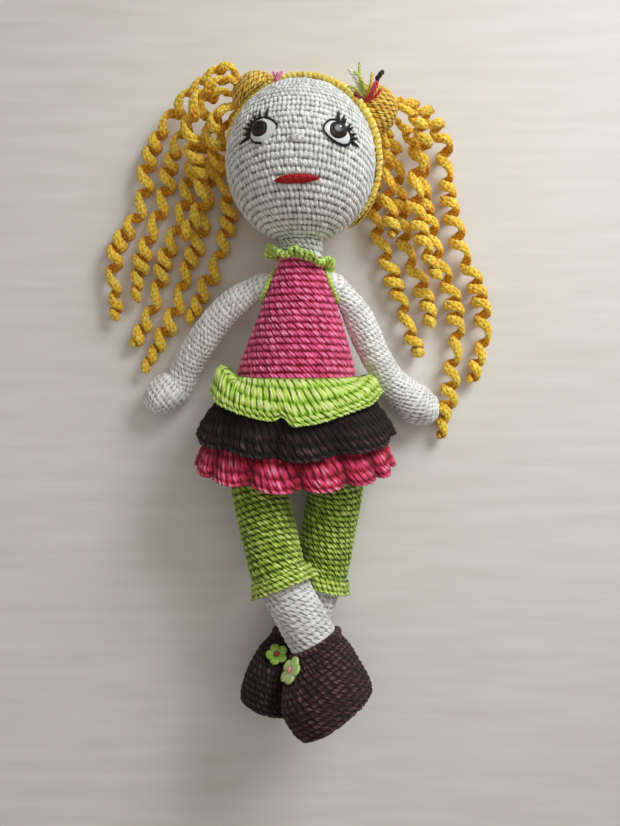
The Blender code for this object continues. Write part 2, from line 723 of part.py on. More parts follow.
def hip(sign):
    return Vector((HIP_CENTRE_X + sign * HIP_SPACING / 2, TORSO_BOTTOM_Y - GAP - THIGH_RADIUS, HIP_HEIGHT))


def leg_rings(sign, shares, shrink):
    """The legging: a round thigh top turning on the hip, down to the cuff."""
    middle = hip(sign)
    centres = [middle, *[middle + Vector(row[:3]) * LEG_LENGTH for row in shares]]
    along = frames(centres)
    along[0] = Vector((0, -1, 0))
    top = THIGH_RADIUS - shrink
    rings = []
    for angle in reversed(DOME_ANGLES[1:]):
        turn = math.radians(angle)
        rings.append(ring(middle - along[0] * top * math.sin(turn), along[0], top * math.cos(turn),
                          top * math.cos(turn), LEG_SIDES))
    sizes = [THIGH_RADIUS, *[row[3] * LEG_RADIUS for row in shares]]
    for centre, way, size in zip(centres, along, sizes):
        rings.append(ring(centre, way, size - shrink, size - shrink, LEG_SIDES))
    return rings, middle - along[0] * top, centres[-1], along[-1]


def cuff_way(shares):
    """The direction in which a legging ends."""
    return (Vector(shares[-1][:3]) - Vector(shares[-2][:3])).normalized()


def ankle_centres(sign, shares, ankle_shares):
    middle = hip(sign)
    start = middle + Vector(shares[-1][:3]) * LEG_LENGTH + cuff_way(shares) * GAP
    return [start, *[middle + Vector(row) * LEG_LENGTH for row in ankle_shares]]


def ankle_rings(sign, shares, ankle_shares, shrink):
    centres = ankle_centres(sign, shares, ankle_shares)
    along = frames(centres)
    along[0] = cuff_way(shares)
    size = ANKLE_RADIUS - shrink
    return [ring(centre, way, size, size, LEG_SIDES) for centre, way in zip(centres, along)]


def shoe_frame(sign, shares, ankle_shares, toe_turn):
    centres = ankle_centres(sign, shares, ankle_shares)
    down = (centres[-1] - centres[-2]).normalized()
    level = Vector((0, 0, 1)).cross(down).normalized()
    up = down.cross(level)
    toe = up * math.cos(toe_turn) - level * math.sin(toe_turn)
    return centres[-1] + down * GAP, down, toe


def shoe_middle(leg):
    top, down, toe = shoe_frame(*leg[1:])
    return top + down * SHOE_HEIGHT / 2 + toe * SHOE_TOE_SHIFT


def shoes_meet():
    """The plane where the two shoes press flat on each other, facing the right shoe."""
    right, left = shoe_middle(LEGS[0]), shoe_middle(LEGS[1])
    return (right + left) / 2, (right - left).normalized()


def shoe_rings(leg, shrink):
    top, down, toe = shoe_frame(*leg[1:])
    rings = []
    for place, long, wide, shift in SHOE_SHARES:
        depth = min(place * SHOE_HEIGHT, SHOE_HEIGHT - shrink)
        centre = top + down * depth + toe * shift * SHOE_TOE_SHIFT
        rings.append(ring(centre, down, long * SHOE_HALF_LENGTH - shrink, wide * SHOE_HALF_WIDTH - shrink,
                          SHOE_SIDES, roll=math.pi / 2 + leg[4]))
    place, normal = shoes_meet()
    normal = normal * -leg[1]
    press(rings, place + normal * (GAP / 2 + shrink), normal)
    press(rings, Vector((0, 0, shrink)), Vector((0, 0, 1)))
    return rings


def make_legs(looks, group):
    for leg in LEGS:
        side, sign, shares, ankle_shares, _ = leg
        outer, tip, end, way = leg_rings(sign, shares, 0.0)
        inner, inner_tip, _, _ = leg_rings(sign, shares, FABRIC)
        shell(side + "_legging", outer, inner, looks["leg"], group, tip, inner_tip)
        make_cuff(side, sign, end, way, shares[-1][3] * LEG_RADIUS, looks["leg"], group)
        outer, inner = (ankle_rings(sign, shares, ankle_shares, shrink) for shrink in (0.0, FABRIC))
        shell(side + "_ankle", outer, inner, looks["cream"], group)
        outer, inner = shoe_rings(leg, 0.0), shoe_rings(leg, FABRIC)
        sole = sum(outer[-1], Vector()) / SHOE_SIDES
        inner_sole = sum(inner[-1], Vector()) / SHOE_SIDES
        shell(side + "_shoe", outer, inner, looks["brown"], group, sole, inner_sole, tip_last=True)
        make_leg_stuffing(leg, looks["fibre"], group)
        make_flower(leg, looks, group)


def make_leg_stuffing(leg, look, group):
    """Fibre from the hip to the sole. The shoe's own filling is a wider lump round its lower end."""
    side, sign, shares, ankle_shares, _ = leg
    inside = FABRIC + PADDING_GAP
    rings, tip, _, _ = leg_rings(sign, shares, inside)
    rings = rings[:-1] + ankle_rings(sign, shares, ankle_shares, inside)
    loft(side + "_leg_stuffing", rings, look, group, start=tip)
    loft(side + "_shoe_stuffing", shoe_rings(leg, inside)[1:], look, group)


def cuffs_meet():
    """The plane where the two cuffs press on each other, facing the right one."""
    right, left = (ankle_centres(*leg[1:4])[0] for leg in LEGS)
    return (right + left) / 2, (right - left).normalized()


def make_cuff(side, sign, end, way, leg_radius, look, group):
    """The frilled hem of a legging, a flared band over its end."""
    outer, inner = [], []
    for share in (1.0, 0.5, 0.0):
        centre = end - way * CUFF_LENGTH * share
        size = leg_radius + GAP + CUFF_FLARE * (1 - share)
        inner.append(ring(centre, way, size, size, LEG_SIDES))
        outer.append(ring(centre, way, size + CUFF_FABRIC, size + CUFF_FABRIC, LEG_SIDES))
    press(outer, Vector(), Vector((0, 0, 1)))
    press(inner, Vector((0, 0, CUFF_FABRIC)), Vector((0, 0, 1)))
    place, normal = cuffs_meet()
    normal = normal * -sign
    press(outer, place + normal * GAP / 2, normal)
    press(inner, place + normal * (GAP / 2 + CUFF_FABRIC), normal)
    shell(side + "_cuff", outer, inner, look, group)


def make_flower(leg, looks, group):
    """A sewn-on flower button near the top of the shoe's instep, and the knot that holds it."""
    side = leg[0]
    top, down, toe = shoe_frame(*leg[1:])
    across = down.cross(toe)
    turn, drop, shift, out_share, lean = FLOWER_PLACES[side]
    out = (toe * math.cos(turn) + across * math.sin(turn)).normalized()
    tilt = (out - down * lean).normalized()
    reach = out_share * math.hypot(SHOE_HALF_LENGTH * math.cos(turn), SHOE_HALF_WIDTH * math.sin(turn))
    centre = top + down * SHOE_HEIGHT * drop + toe * SHOE_TOE_SHIFT * shift + out * reach
    outline = bpy.data.curves.new(side + "_flower_button", "CURVE")
    outline.dimensions = "2D"
    outline.fill_mode = "BOTH"
    outline.extrude = FLOWER_THICKNESS / 2
    outline.render_resolution_u = 0
    spline = outline.splines.new("POLY")
    steps = PETALS * 8
    spline.points.add(steps - 1)
    for step, spot in enumerate(spline.points):
        angle = math.tau * step / steps
        petal = FLOWER_RADIUS * (0.74 + 0.26 * math.cos(PETALS * angle))
        spot.co = (petal * math.cos(angle), petal * math.sin(angle), 0, 1)
    spline.use_cyclic_u = True
    outline.materials.append(looks["petal"])
    button = bpy.data.objects.new(side + "_flower_button", outline)
    button.matrix_world = Matrix.Translation(centre) @ tilt.to_track_quat("Z", "Y").to_matrix().to_4x4()
    group.objects.link(button)
    knot = ellipsoid(side + "_flower_knot", centre + tilt * (FLOWER_THICKNESS / 2 + GAP + FLOWER_CENTRE_RADIUS / 2),
                     (FLOWER_CENTRE_RADIUS, FLOWER_CENTRE_RADIUS, FLOWER_CENTRE_RADIUS / 2), looks["pink"],
                     group, 8, 5)
    knot.rotation_euler = tilt.to_track_quat("Z", "Y").to_euler()


# Turn round the shoe from its toe, then shares: drop, shift to the toe, reach and lean
FLOWER_PLACES = {"right": (0.0, 0.12, 0.3, 0.7, 1.3), "left": (0.0, 0.2, 0.6, 0.9, 0.6)}


# Routes of the locks, in millimetres, chosen by hand from where each leaves its bun
CURL_ROUTES = {
    "right": (
        ((-38, 193, 33), (-53, 185, 22), (-69, 174, 12), (-80, 160, 7), (-86, 145, 7), (-88, 130, 7),
         (-91, 116, 7), (-98, 105, 7), (-105, 93, 7), (-106, 75, 7), (-104, 52, 7)),
        ((-43, 179, 31), (-54, 170, 21), (-65, 160, 12), (-72, 147, 7), (-75, 132, 7), (-78, 118, 7),
         (-84, 104, 7), (-89, 89, 7), (-92, 75, 7), (-93, 63, 7)),
        ((-40, 170, 29), (-49, 159, 18), (-56.5, 147, 9), (-62, 133, 7), (-65, 118, 7), (-70, 103, 7),
         (-76, 88, 7), (-79, 73, 7), (-83, 59, 7), (-89, 47, 7), (-95, 36, 7)),
        ((-36, 166, 22), (-43, 152, 13), (-48, 139, 7), (-51, 125, 7), (-53, 110, 7), (-57, 96, 7),
         (-63, 82, 7), (-66, 68, 7), (-71, 55, 7), (-77, 42, 7), (-84, 30, 7), (-88, 21, 7)),
        ((-42, 164, 41), (-45, 152, 30), (-42, 140, 19), (-39, 127, 9), (-38, 113, 7), (-41, 99, 7),
         (-45, 86, 7), (-50, 73, 7), (-54, 61, 7), (-58, 48, 7)),
        ((-36, 182, 46), (-49, 176, 42), (-58, 162, 35), (-56, 145, 27), (-53, 131, 21), (-53, 118, 20.5),
         (-58, 107, 20.5), (-64, 98, 20.5)),
    ),
    "left": (
        ((62, 174, 33), (76, 171, 22), (86, 162, 11), (90, 149, 7), (91, 134, 7), (93, 118, 7),
         (97, 102, 7), (102, 87, 7), (108, 73, 7), (112, 58, 7), (113, 43, 7), (109, 28, 7), (105, 15, 7)),
        ((60, 163, 30), (70, 156, 17), (76, 144, 9), (77, 130, 7), (79, 115, 7), (82, 100, 7),
         (87, 85, 7), (93, 70, 7), (96, 55, 7), (97, 40, 7), (94, 26, 7), (93, 10, 7), (89, -6, 7),
         (87, -18, 7)),
        ((56, 156, 27), (61, 146, 14), (62, 132, 7.5), (63, 118, 7), (65, 103, 7), (69, 88, 7),
         (75, 74, 7), (80, 60, 7), (82, 47, 7)),
        ((49, 151, 22), (47, 142, 11), (47, 130, 7), (48, 115, 7), (51, 100, 7), (56, 85, 7),
         (61, 71, 7), (66, 57, 7), (70, 42, 7), (77, 31, 7)),
        ((62, 168, 40), (72, 160, 34), (75, 148, 25), (71, 134, 20), (71, 118, 19), (74, 102, 19),
         (79, 87, 19), (85, 74, 19)),
        ((52, 153, 33), (55, 143, 22), (55, 129, 19), (56, 114, 19), (59, 99, 19)),
    ),
}


def curl_points(bun, route):
    """A lock: straight out of its bun for a little, then a helix about its route, then straight."""
    spots = [Vector(spot) * MM for spot in route]
    way = (spots[0] - bun).normalized()
    start = bun + way * (BUN_RADIUS + GAP)
    centres = smooth_path([start, *spots], CURL_PITCH / CURL_POINTS_A_TURN)
    along = frames(centres)
    along[0] = way
    lead = 2 * CURL_TUBE_RADIUS
    travelled, points = 0.0, []
    total = sum((b - a).length for a, b in zip(centres, centres[1:]))
    side = Vector((0, 0, 1)).cross(along[0]).normalized()
    for index, (centre, ahead) in enumerate(zip(centres, along)):
        if index:
            travelled += (centre - centres[index - 1]).length
        side = (side - ahead * side.dot(ahead)).normalized()
        up = ahead.cross(side)
        ramp = min(max((min(travelled, total - travelled) - lead) / (CURL_LEAD_SHARE * lead), 0.0), 1.0)
        size = CURL_COIL_RADIUS * math.sin(ramp * math.pi / 2)
        turn = math.tau * travelled / CURL_PITCH
        points.append(centre + side * size * math.cos(turn) + up * size * math.sin(turn))
    return points


def least_gap(points, near):
    """The least clear distance between far-apart stretches of one tube."""
    least = math.inf
    for index, point in enumerate(points):
        for other in points[index + near:]:
            least = min(least, (point - other).length)
    return least - 2 * CURL_TUBE_RADIUS


def make_curls(looks, group, buns):
    turns = 0.0
    for side, routes in CURL_ROUTES.items():
        for number, route in enumerate(routes, 1):
            points = curl_points(buns[side], route)
            lowest = min(point.z for point in points)
            points = [Vector((p.x, p.y, max(p.z, CURL_TUBE_RADIUS))) for p in points]
            tube(f"{side}_curl_{number}", points, CURL_TUBE_RADIUS, looks["yellow"], group)
            turns += len(points) / CURL_POINTS_A_TURN
            gap = least_gap(points, CURL_POINTS_A_TURN // 2) / MM
            print(f"{side}_curl_{number}: least gap to itself {gap:.2f} mm, lowest {lowest / MM:.1f} mm")
    print(f"curls: {turns:.1f} turns")


def make_ties(looks, group, buns):
    """Scraps of yarn knotted over each bun. They arch up off it towards the crown."""
    up = Vector((0, 1, 0))
    for side, lean, length in (("right", TIE_LEAN, RIGHT_TIE_LENGTH), ("left", -TIE_LEAN, LEFT_TIE_LENGTH)):
        outward = Vector((lean, TIE_RISE, 1)).normalized()
        start = buns[side] + outward * (BUN_RADIUS + GAP + TIE_RADIUS)
        points = [start + up * length * share + outward * length * share * (1 - share)
                  for share in (0.0, 0.25, 0.5, 0.75, 1.0)]
        tube(side + "_bun_tie", points, TIE_RADIUS, looks["pink"], group)


def main():
    clear_scene()
    doll = new_collection("crochet_doll")
    cutters = new_collection("cutters")
    looks = {
        "cream": fabric("cream_cotton", CREAM), "yellow": fabric("yellow_cotton", YELLOW),
        "pink": fabric("pink_cotton", PINK), "green": fabric("green_cotton", GREEN),
        "leg": fabric("leg_green_cotton", LEG_GREEN), "brown": fabric("brown_cotton", BROWN),
        "white": fabric("eye_white", WHITE, 0.2), "black": fabric("iris_plastic", BLACK, 0.1),
        "thread": fabric("black_thread", BLACK, 0.8), "red": fabric("mouth_satin", RED, 0.4),
        "fibre": fabric("fibrefill", FIBRE), "petal": fabric("flower_plastic", PETAL, 0.35),
    }
    make_head(looks, doll)
    buns = make_hair(looks, doll, cutters)
    make_face(looks, doll)
    make_torso(looks, doll)
    make_collar(looks, doll)
    make_skirt(looks, doll)
    make_arms(looks, doll)
    make_legs(looks, doll)
    make_curls(looks, doll, buns)
    make_ties(looks, doll, buns)
    frame = bpy.data.objects.new("doll_frame", None)
    doll.objects.link(frame)
    frame.location = MIDDLE_SHIFT
    for piece in [*doll.objects, *cutters.objects]:
        if piece is not frame:
            piece.parent = frame
    bpy.context.view_layer.update()


main()
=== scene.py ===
import math

import bpy
import numpy as np
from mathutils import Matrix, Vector


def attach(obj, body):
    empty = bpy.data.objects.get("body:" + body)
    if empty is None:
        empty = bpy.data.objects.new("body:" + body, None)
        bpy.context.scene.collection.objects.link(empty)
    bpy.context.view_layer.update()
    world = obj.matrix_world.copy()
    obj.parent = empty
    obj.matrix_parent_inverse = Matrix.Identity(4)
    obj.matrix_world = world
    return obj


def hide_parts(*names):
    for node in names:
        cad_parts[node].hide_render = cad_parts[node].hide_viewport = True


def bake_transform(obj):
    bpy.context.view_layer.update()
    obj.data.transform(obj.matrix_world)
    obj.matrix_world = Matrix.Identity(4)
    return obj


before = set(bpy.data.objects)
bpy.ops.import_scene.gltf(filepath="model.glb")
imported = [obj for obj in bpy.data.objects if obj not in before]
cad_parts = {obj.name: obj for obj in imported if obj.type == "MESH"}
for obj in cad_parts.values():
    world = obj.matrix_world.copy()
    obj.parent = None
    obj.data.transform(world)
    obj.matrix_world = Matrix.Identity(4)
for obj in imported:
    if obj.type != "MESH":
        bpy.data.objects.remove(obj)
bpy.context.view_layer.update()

# Lengths in this file are in millimetres, in the doll's own frame, until add_mesh writes them in metres
MM = 0.001
DOLL = np.array((0.5, -5.0, 0.0))
TAU = 2 * math.pi
UP = np.array((0.0, 0.0, 1.0))
# The floor lies this far under 0, and the crochet keeps as far above it
TABLE_GAP = 0.05
FLOOR_HALF = 1600.0

GAP = 0.3
STITCH = 4.1
ROW = 3.7
RELIEF = 1.25
FINE = 7

HEAD_SIZE = np.array((41.5, 45.0, 41.5))
HEAD = np.array((5.0, 136.0, 44.2))
HEAD_COLUMNS = 432
NECK_RADIUS = 11.0
NECK_TOP_Y = HEAD[1] - HEAD_SIZE[1] * math.sqrt(1 - (NECK_RADIUS / HEAD_SIZE[0]) ** 2) - GAP
CAP_REACH = 3.2
CAP_RIM = (-1.5, 0.2, 0.2)
CAP_NAPE = -34.0
CAP_POLE = np.array((0.12, 0.22, -1.0)) / math.hypot(0.12, 0.22, 1.0)
BUN_RADIUS = 14.0
BUNS = {
    "right": HEAD + np.array((-0.5904 * HEAD_SIZE[0], 0.8556 * HEAD_SIZE[1], -6.0)),
    "left": HEAD + np.array((0.9639 * HEAD_SIZE[0], 0.6889 * HEAD_SIZE[1], -6.0)),
}

TORSO_LENGTH = 100.3
WAIST = (33.5, 24.5)
TORSO_BOTTOM_Y = NECK_TOP_Y - TORSO_LENGTH
WAIST_Z = 7.5 + WAIST[1]
SHOULDER_TILT = math.radians(21.8)
SHOULDER_DROP = 24.0
COLLAR_DROP, COLLAR_RADIUS, COLLAR_THICK = 10.4, 19.0, 1.8
COLLAR_SLOPE = math.radians(10)
TIER_COLUMNS = 720
TIER_WALL, TIER_LIFT = 1.9, 2.3
ARM_LENGTH = 100.0
ARM_RADIUS = 8.7
LEG_LENGTH = 106.0
LEG_RADIUS = 15.4
ANKLE_RADIUS = 13.5
THIGH_RADIUS = 17.0
HIP_HEIGHT, HIP_MIDDLE, HIP_HALF = 30.0, 2.5, 20.0
CUFF_LENGTH, CUFF_FLARE, CUFF_WALL, CUFF_WAVE = 8.0, 1.8, 1.7, 0.9
SHOE_LENGTH, SHOE_WIDTH, SHOE_HEIGHT, SHOE_SHIFT = 28.5, 18.0, 41.0, 10.5

CAMERA_HEIGHT = 600.0
CAMERA_PLACE = (10.5, -8.0)


# Small tools

def vec(*numbers):
    return np.array(numbers, float)


def unit(v):
    return v / np.maximum(np.linalg.norm(v, axis=-1, keepdims=True), 1e-9)


def ease(x):
    x = np.clip(x, 0.0, 1.0)
    return x * x * (3 - 2 * x)


def bell(x, width):
    return np.exp(-(x / width) ** 2)


def spline(points, steps):
    """Points on a Catmull-Rom curve, or rings on a Catmull-Rom tube."""
    points = np.asarray(points, float)
    ends = np.concatenate([[2 * points[0] - points[1]], points, [2 * points[-1] - points[-2]]])
    t = (np.arange(steps) / steps).reshape(-1, *[1] * (points.ndim - 1))
    found = []
    for a, b, c, d in zip(ends, ends[1:], ends[2:], ends[3:]):
        found.append(0.5 * (2 * b + (c - a) * t + (2 * a - 5 * b + 4 * c - d) * t ** 2
                            + (3 * b - a - 3 * c + d) * t ** 3))
    found.append(points[-1:])
    return np.concatenate(found)


def reach_of(points):
    """The distance travelled at each point, or at each ring."""
    steps = np.linalg.norm(np.diff(points, axis=0), axis=-1)
    if steps.ndim > 1:
        steps = steps.mean(axis=tuple(range(1, steps.ndim)))
    return np.concatenate([[0.0], np.cumsum(steps)])


def at_shares(points, shares):
    """Points or rings at shares of the distance along."""
    reach = reach_of(points)
    spot = np.interp(np.asarray(shares) * reach[-1], reach, np.arange(len(reach)))
    low = np.clip(np.floor(spot).astype(int), 0, len(points) - 2)
    part = (spot - low).reshape(-1, *[1] * (points.ndim - 1))
    return points[low] * (1 - part) + points[low + 1] * part


def even(points, spacing):
    count = max(2, round(reach_of(points)[-1] / spacing))
    return at_shares(points, np.arange(count + 1) / count)


def turns(count):
    """Angles all the way round."""
    return TAU * np.arange(count) / count


def square_to(ways, ahead):
    """Each direction made square to the one ahead."""
    return unit(ways - ahead * (ways * ahead).sum(axis=1, keepdims=True))


def frames(centres, first):
    """Side and up at each point of a line, turning as little as may be."""
    ahead = unit(np.gradient(centres, axis=0))
    side, sides = first, []
    for way in ahead:
        side = side - way * side.dot(way)
        side = side / max(np.linalg.norm(side), 1e-9)
        sides.append(side)
    sides = np.array(sides)
    return sides, np.cross(ahead, sides)


def rings_round(line, first, second, turn, wide, deep):
    """Rings round a line: wide along first and deep along second, each one number, one a ring or one a point."""
    wide, deep = (np.reshape(size, (-1, 1)) if np.ndim(size) == 1 else size for size in (wide, deep))
    first, second = np.broadcast_to(first, line.shape), np.broadcast_to(second, line.shape)
    return (line[:, None] + first[:, None] * (np.cos(turn) * wide)[..., None]
            + second[:, None] * (np.sin(turn) * deep)[..., None])


def tube_rings(centres, size, count):
    """A round tube about a path, its size one number or one a ring."""
    side, up = frames(centres, -UP)
    return rings_round(centres, side, up, turns(count), size, size)


def ball_rings(centre, axes, polar, around, long, wide):
    """Rings over a ball or an egg, from pole to pole of its first axis."""
    level = axes[1] * np.cos(around)[:, None] + axes[2] * np.sin(around)[:, None]
    return centre + axes[0] * (long * np.cos(polar))[:, None, None] + level * (wide * np.sin(polar))[:, None, None]


def flat_ring(centre, along, wide, deep, count, roll=0.0):
    """The source's ellipse square to along: at no roll, wide is level and deep points up."""
    side = unit(np.cross(UP, along))
    up = unit(np.cross(along, side))
    first = side * math.cos(roll) + up * math.sin(roll)
    second = up * math.cos(roll) - side * math.sin(roll)
    turn = turns(count) - roll
    return centre + first * (wide * np.cos(turn))[:, None] + second * (deep * np.sin(turn))[:, None]


def press(points, place, normal):
    """Flattens what reaches past a plane."""
    depth = np.minimum((points - place) @ normal, 0.0)
    return points - depth[..., None] * normal


def outside_ball(points, centre, sizes):
    """Moves what reaches into an ellipsoid out onto it."""
    away = (points - centre) / sizes
    size = np.linalg.norm(away, axis=-1, keepdims=True)
    return np.where(size < 1, centre + away / np.maximum(size, 1e-6) * sizes, points)


def normals_of(grid, closed):
    across = (np.roll(grid, -1, axis=1) - np.roll(grid, 1, axis=1)) if closed else np.gradient(grid, axis=1)
    along = np.gradient(grid, axis=0)
    found = unit(np.cross(across, along))
    middle = grid.mean(axis=1, keepdims=True)
    third = max(2, len(grid) // 3)
    facing = ((grid - middle) * found).sum(axis=2)[1:third].mean()
    return found if facing > 0 else -found


def add_mesh(name, points, faces, look, body, fields):
    """A smooth piece from points in the doll's frame. Fields are values at the points, for its material."""
    mesh = bpy.data.meshes.new(name)
    mesh.from_pydata(((points + DOLL) * MM).tolist(), [], faces)
    for key, values in fields.items():
        kind, part = ("FLOAT", "value") if values.ndim == 1 else ("FLOAT_VECTOR", "vector")
        layer = mesh.attributes.new(key, kind, "POINT")
        layer.data.foreach_set(part, values.astype(np.float32).ravel())
    mesh.materials.append(look)
    mesh.shade_smooth()
    made = bpy.data.objects.new(name, mesh)
    bpy.context.scene.collection.objects.link(made)
    if body:
        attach(made, body)
    return made


def grid_faces(rows, columns, closed):
    """Quads of a grid, row after row."""
    high = columns if closed else columns - 1
    row, column = np.meshgrid(np.arange(rows - 1), np.arange(high), indexing="ij")
    following = (column + 1) % columns
    a, b = row * columns + column, row * columns + following
    c, d = (row + 1) * columns + following, (row + 1) * columns + column
    return np.stack([a, b, c, d], axis=-1).reshape(-1, 4)


def face_out(points, faces, grid_normals):
    """Turns the faces over where they look against the normals."""
    a, b, d = points[faces[:, 0]], points[faces[:, 1]], points[faces[:, 3]]
    found = np.cross(b - a, d - a)
    if (found * grid_normals[faces[:, 0]]).sum() < 0:
        return faces[:, ::-1]
    return faces


def grid_mesh(grid, closed, tips, outward):
    """Points and faces of a grid, its ends drawn in to a point where asked."""
    rows, columns = grid.shape[:2]
    points = grid.reshape(-1, 3)
    faces = face_out(points, grid_faces(rows, columns, closed), outward.reshape(-1, 3))
    flipped = faces[0][0] != 0
    faces = faces.tolist()
    for wanted, row in zip(tips, (0, rows - 1)):
        if not wanted:
            continue
        tip = len(points)
        points = np.concatenate([points, grid[row].mean(axis=0, keepdims=True)])
        for column in range(columns):
            a, b = row * columns + column, row * columns + (column + 1) % columns
            faces.append((b, a, tip) if (row == 0) != flipped else (a, b, tip))
    return points, faces


def grid_piece(name, grid, look, body, closed=True, tips=(False, False), fields=None, towards=None):
    """A piece from a grid of points. Towards says which way its faces look, where that isn't outwards."""
    outward = normals_of(grid, closed) if towards is None else np.broadcast_to(towards, grid.shape)
    points, faces = grid_mesh(grid, closed, tips, outward)
    rows, columns = grid.shape[:2]
    ends = [row * columns for wanted, row in zip(tips, (0, rows - 1)) if wanted]
    values = {}
    for key, value in (fields or {}).items():
        flat = np.asarray(value, float).reshape(rows * columns, *value.shape[2:])
        values[key] = np.concatenate([flat, flat[ends]])
    return add_mesh(name, points, faces, look, body, values)


def plain_fields(grid, depth, along):
    """Fields for a piece without stitches."""
    return {"depth": 0 * grid[..., 0] + depth, "stitch": grid * vec(*along)}


def twist_fields(spiral):
    """Fields for yarn whose plies turn round it: the depth paints shade between the plies and a highlight on their
    crests.
    """
    return {"depth": 0.6 + 0.4 * np.cos(spiral), "stitch": np.stack([spiral / TAU, 0 * spiral, 0 * spiral], axis=-1)}


# Where the strands of a stitch lie across it, and their half width
STRANDS = {1: ((0.5,), 0.5), 2: ((0.28, 0.72), 0.24)}
MOST_STITCHES = 256
# A crocheted chain, as knit takes it
CHAIN = dict(fine=6, slant=-0.8, strands=1, cleft=(0.6, 0.6), hole=0.0, fixed=3, step=-0.8)


def strand_heights(across, place, rows, counts, phase, slant, tall, strands, cleft, hole, dip, rng):
    """Each stitch is one or more slanting strands, with a hole at each corner where stitches meet."""
    spots, width = STRANDS[strands]
    shape = (rows, MOST_STITCHES, len(spots))
    aside, wider = rng.uniform(-0.05, 0.05, shape), rng.uniform(0.86, 1.1, shape)
    rise, size, tone = rng.uniform(-0.09, 0.09, shape), rng.uniform(0.74, 1.12, shape), rng.uniform(-1, 1, shape)
    hole_size = rng.uniform(0.7, 1.3, shape[:2])
    row_of = np.minimum(np.floor(place + 1e-6).astype(int), rows - 1)
    height = np.zeros(across.shape)
    holes = np.zeros(across.shape)
    found = np.zeros((*across.shape, 3))
    for step in (-1, 0, 1):
        row = np.clip(row_of + step, 0, rows - 1)
        real = (row == row_of + step)[:, None]
        up = (place - row)[:, None]
        a = across * counts[row][:, None] + phase[row][:, None] - slant * (up - 0.5)
        cell = np.floor(a).astype(int)
        which = np.mod(cell, counts[row][:, None]) % MOST_STITCHES
        for number, spot in enumerate(spots):
            pick = (row[:, None], which, number)
            d = (a - cell - spot - aside[pick]) / (width * wider[pick])
            crown = np.sqrt(np.clip(1 - np.abs(d) ** 2.1, 0, 1))
            along = np.abs(up - 0.5 - rise[pick]) / (tall * (0.84 + 0.16 * crown))
            edge = 1 - dip * (1 - np.clip(1 - along ** 2.4, 0, 1) ** 0.6)
            depth = cleft[0] + (cleft[1] - cleft[0]) * np.clip(up, 0, 1)
            h = edge * (1 - depth * (1 - crown)) * size[pick]
            better = real & (np.abs(d) < 1.1) & (along < 1.3) & (h > height)
            height = np.where(better, h, height)
            here = np.stack([d, np.broadcast_to(up, d.shape) + cell * 0.37, tone[pick]], axis=-1)
            found = np.where(better[..., None], here, found)
        near = np.round(a)
        wide = hole_size[row[:, None], np.mod(near.astype(int), counts[row][:, None]) % MOST_STITCHES]
        gone = np.exp(-((a - near) / (0.17 * wide)) ** 2 - ((up - 0.03) / (0.3 * wide)) ** 2)
        holes = np.maximum(holes, gone * real)
    return height * (1 - hole * holes), found


def knit(name, rings, look, body, stitch=STITCH, row=ROW, relief=RELIEF, fine=FINE, slant=-0.75, tall=0.53,
         strands=2, cleft=(0.5, 0.65), hole=0.9, dip=0.85, seed=1, tips=(False, False), step=0.45,
         floor=None, fixed=None, across=None, heights=None, shade=None):
    """Crochet over a smooth closed form. Rings are dense, and their columns run on to the next ring."""
    reach = reach_of(rings)[-1]
    rows = len(heights) if heights else max(2, round(reach / row))
    place = np.linspace(0, rows, rows * fine + 1)
    edges = np.concatenate([[0.0], np.cumsum(heights)]) / sum(heights) if heights else np.arange(rows + 1) / rows
    base = at_shares(rings, np.interp(place, np.arange(rows + 1), edges))
    columns = base.shape[1]
    ends = np.concatenate([base, base[:, :1]], axis=1)
    girth = np.linalg.norm(np.diff(ends, axis=1), axis=2).sum(axis=1)
    middles = girth[np.minimum((np.arange(rows) * fine + fine // 2), len(girth) - 1)]
    counts = np.maximum(np.round(middles / stitch), 4).astype(int)
    if fixed:
        counts[:] = fixed
    rng = np.random.default_rng(seed)
    phase = np.cumsum(step - slant + rng.uniform(-0.15, 0.15, rows))
    if across is None:
        across = np.arange(columns) / columns
    across = np.broadcast_to(across, (len(place), columns))
    height, stitches = strand_heights(across, place, rows, counts, phase, slant, tall, strands, cleft, hole, dip,
                                      rng)
    outward = normals_of(base, True)
    grid = base + outward * ((height - 0.55) * relief)[..., None]
    if floor is not None:
        grid[..., 2] = np.maximum(grid[..., 2], floor)
    # Painted shade: the shade factor darkens only the colour's depth field, and the relief stays as it is
    if shade is not None:
        height = height * shade(place / rows)
    fields = {"depth": np.clip(height, 0, 1.1), "stitch": stitches}
    return grid_piece(name, grid, look, body, True, tips, fields, towards=outward)


# Materials

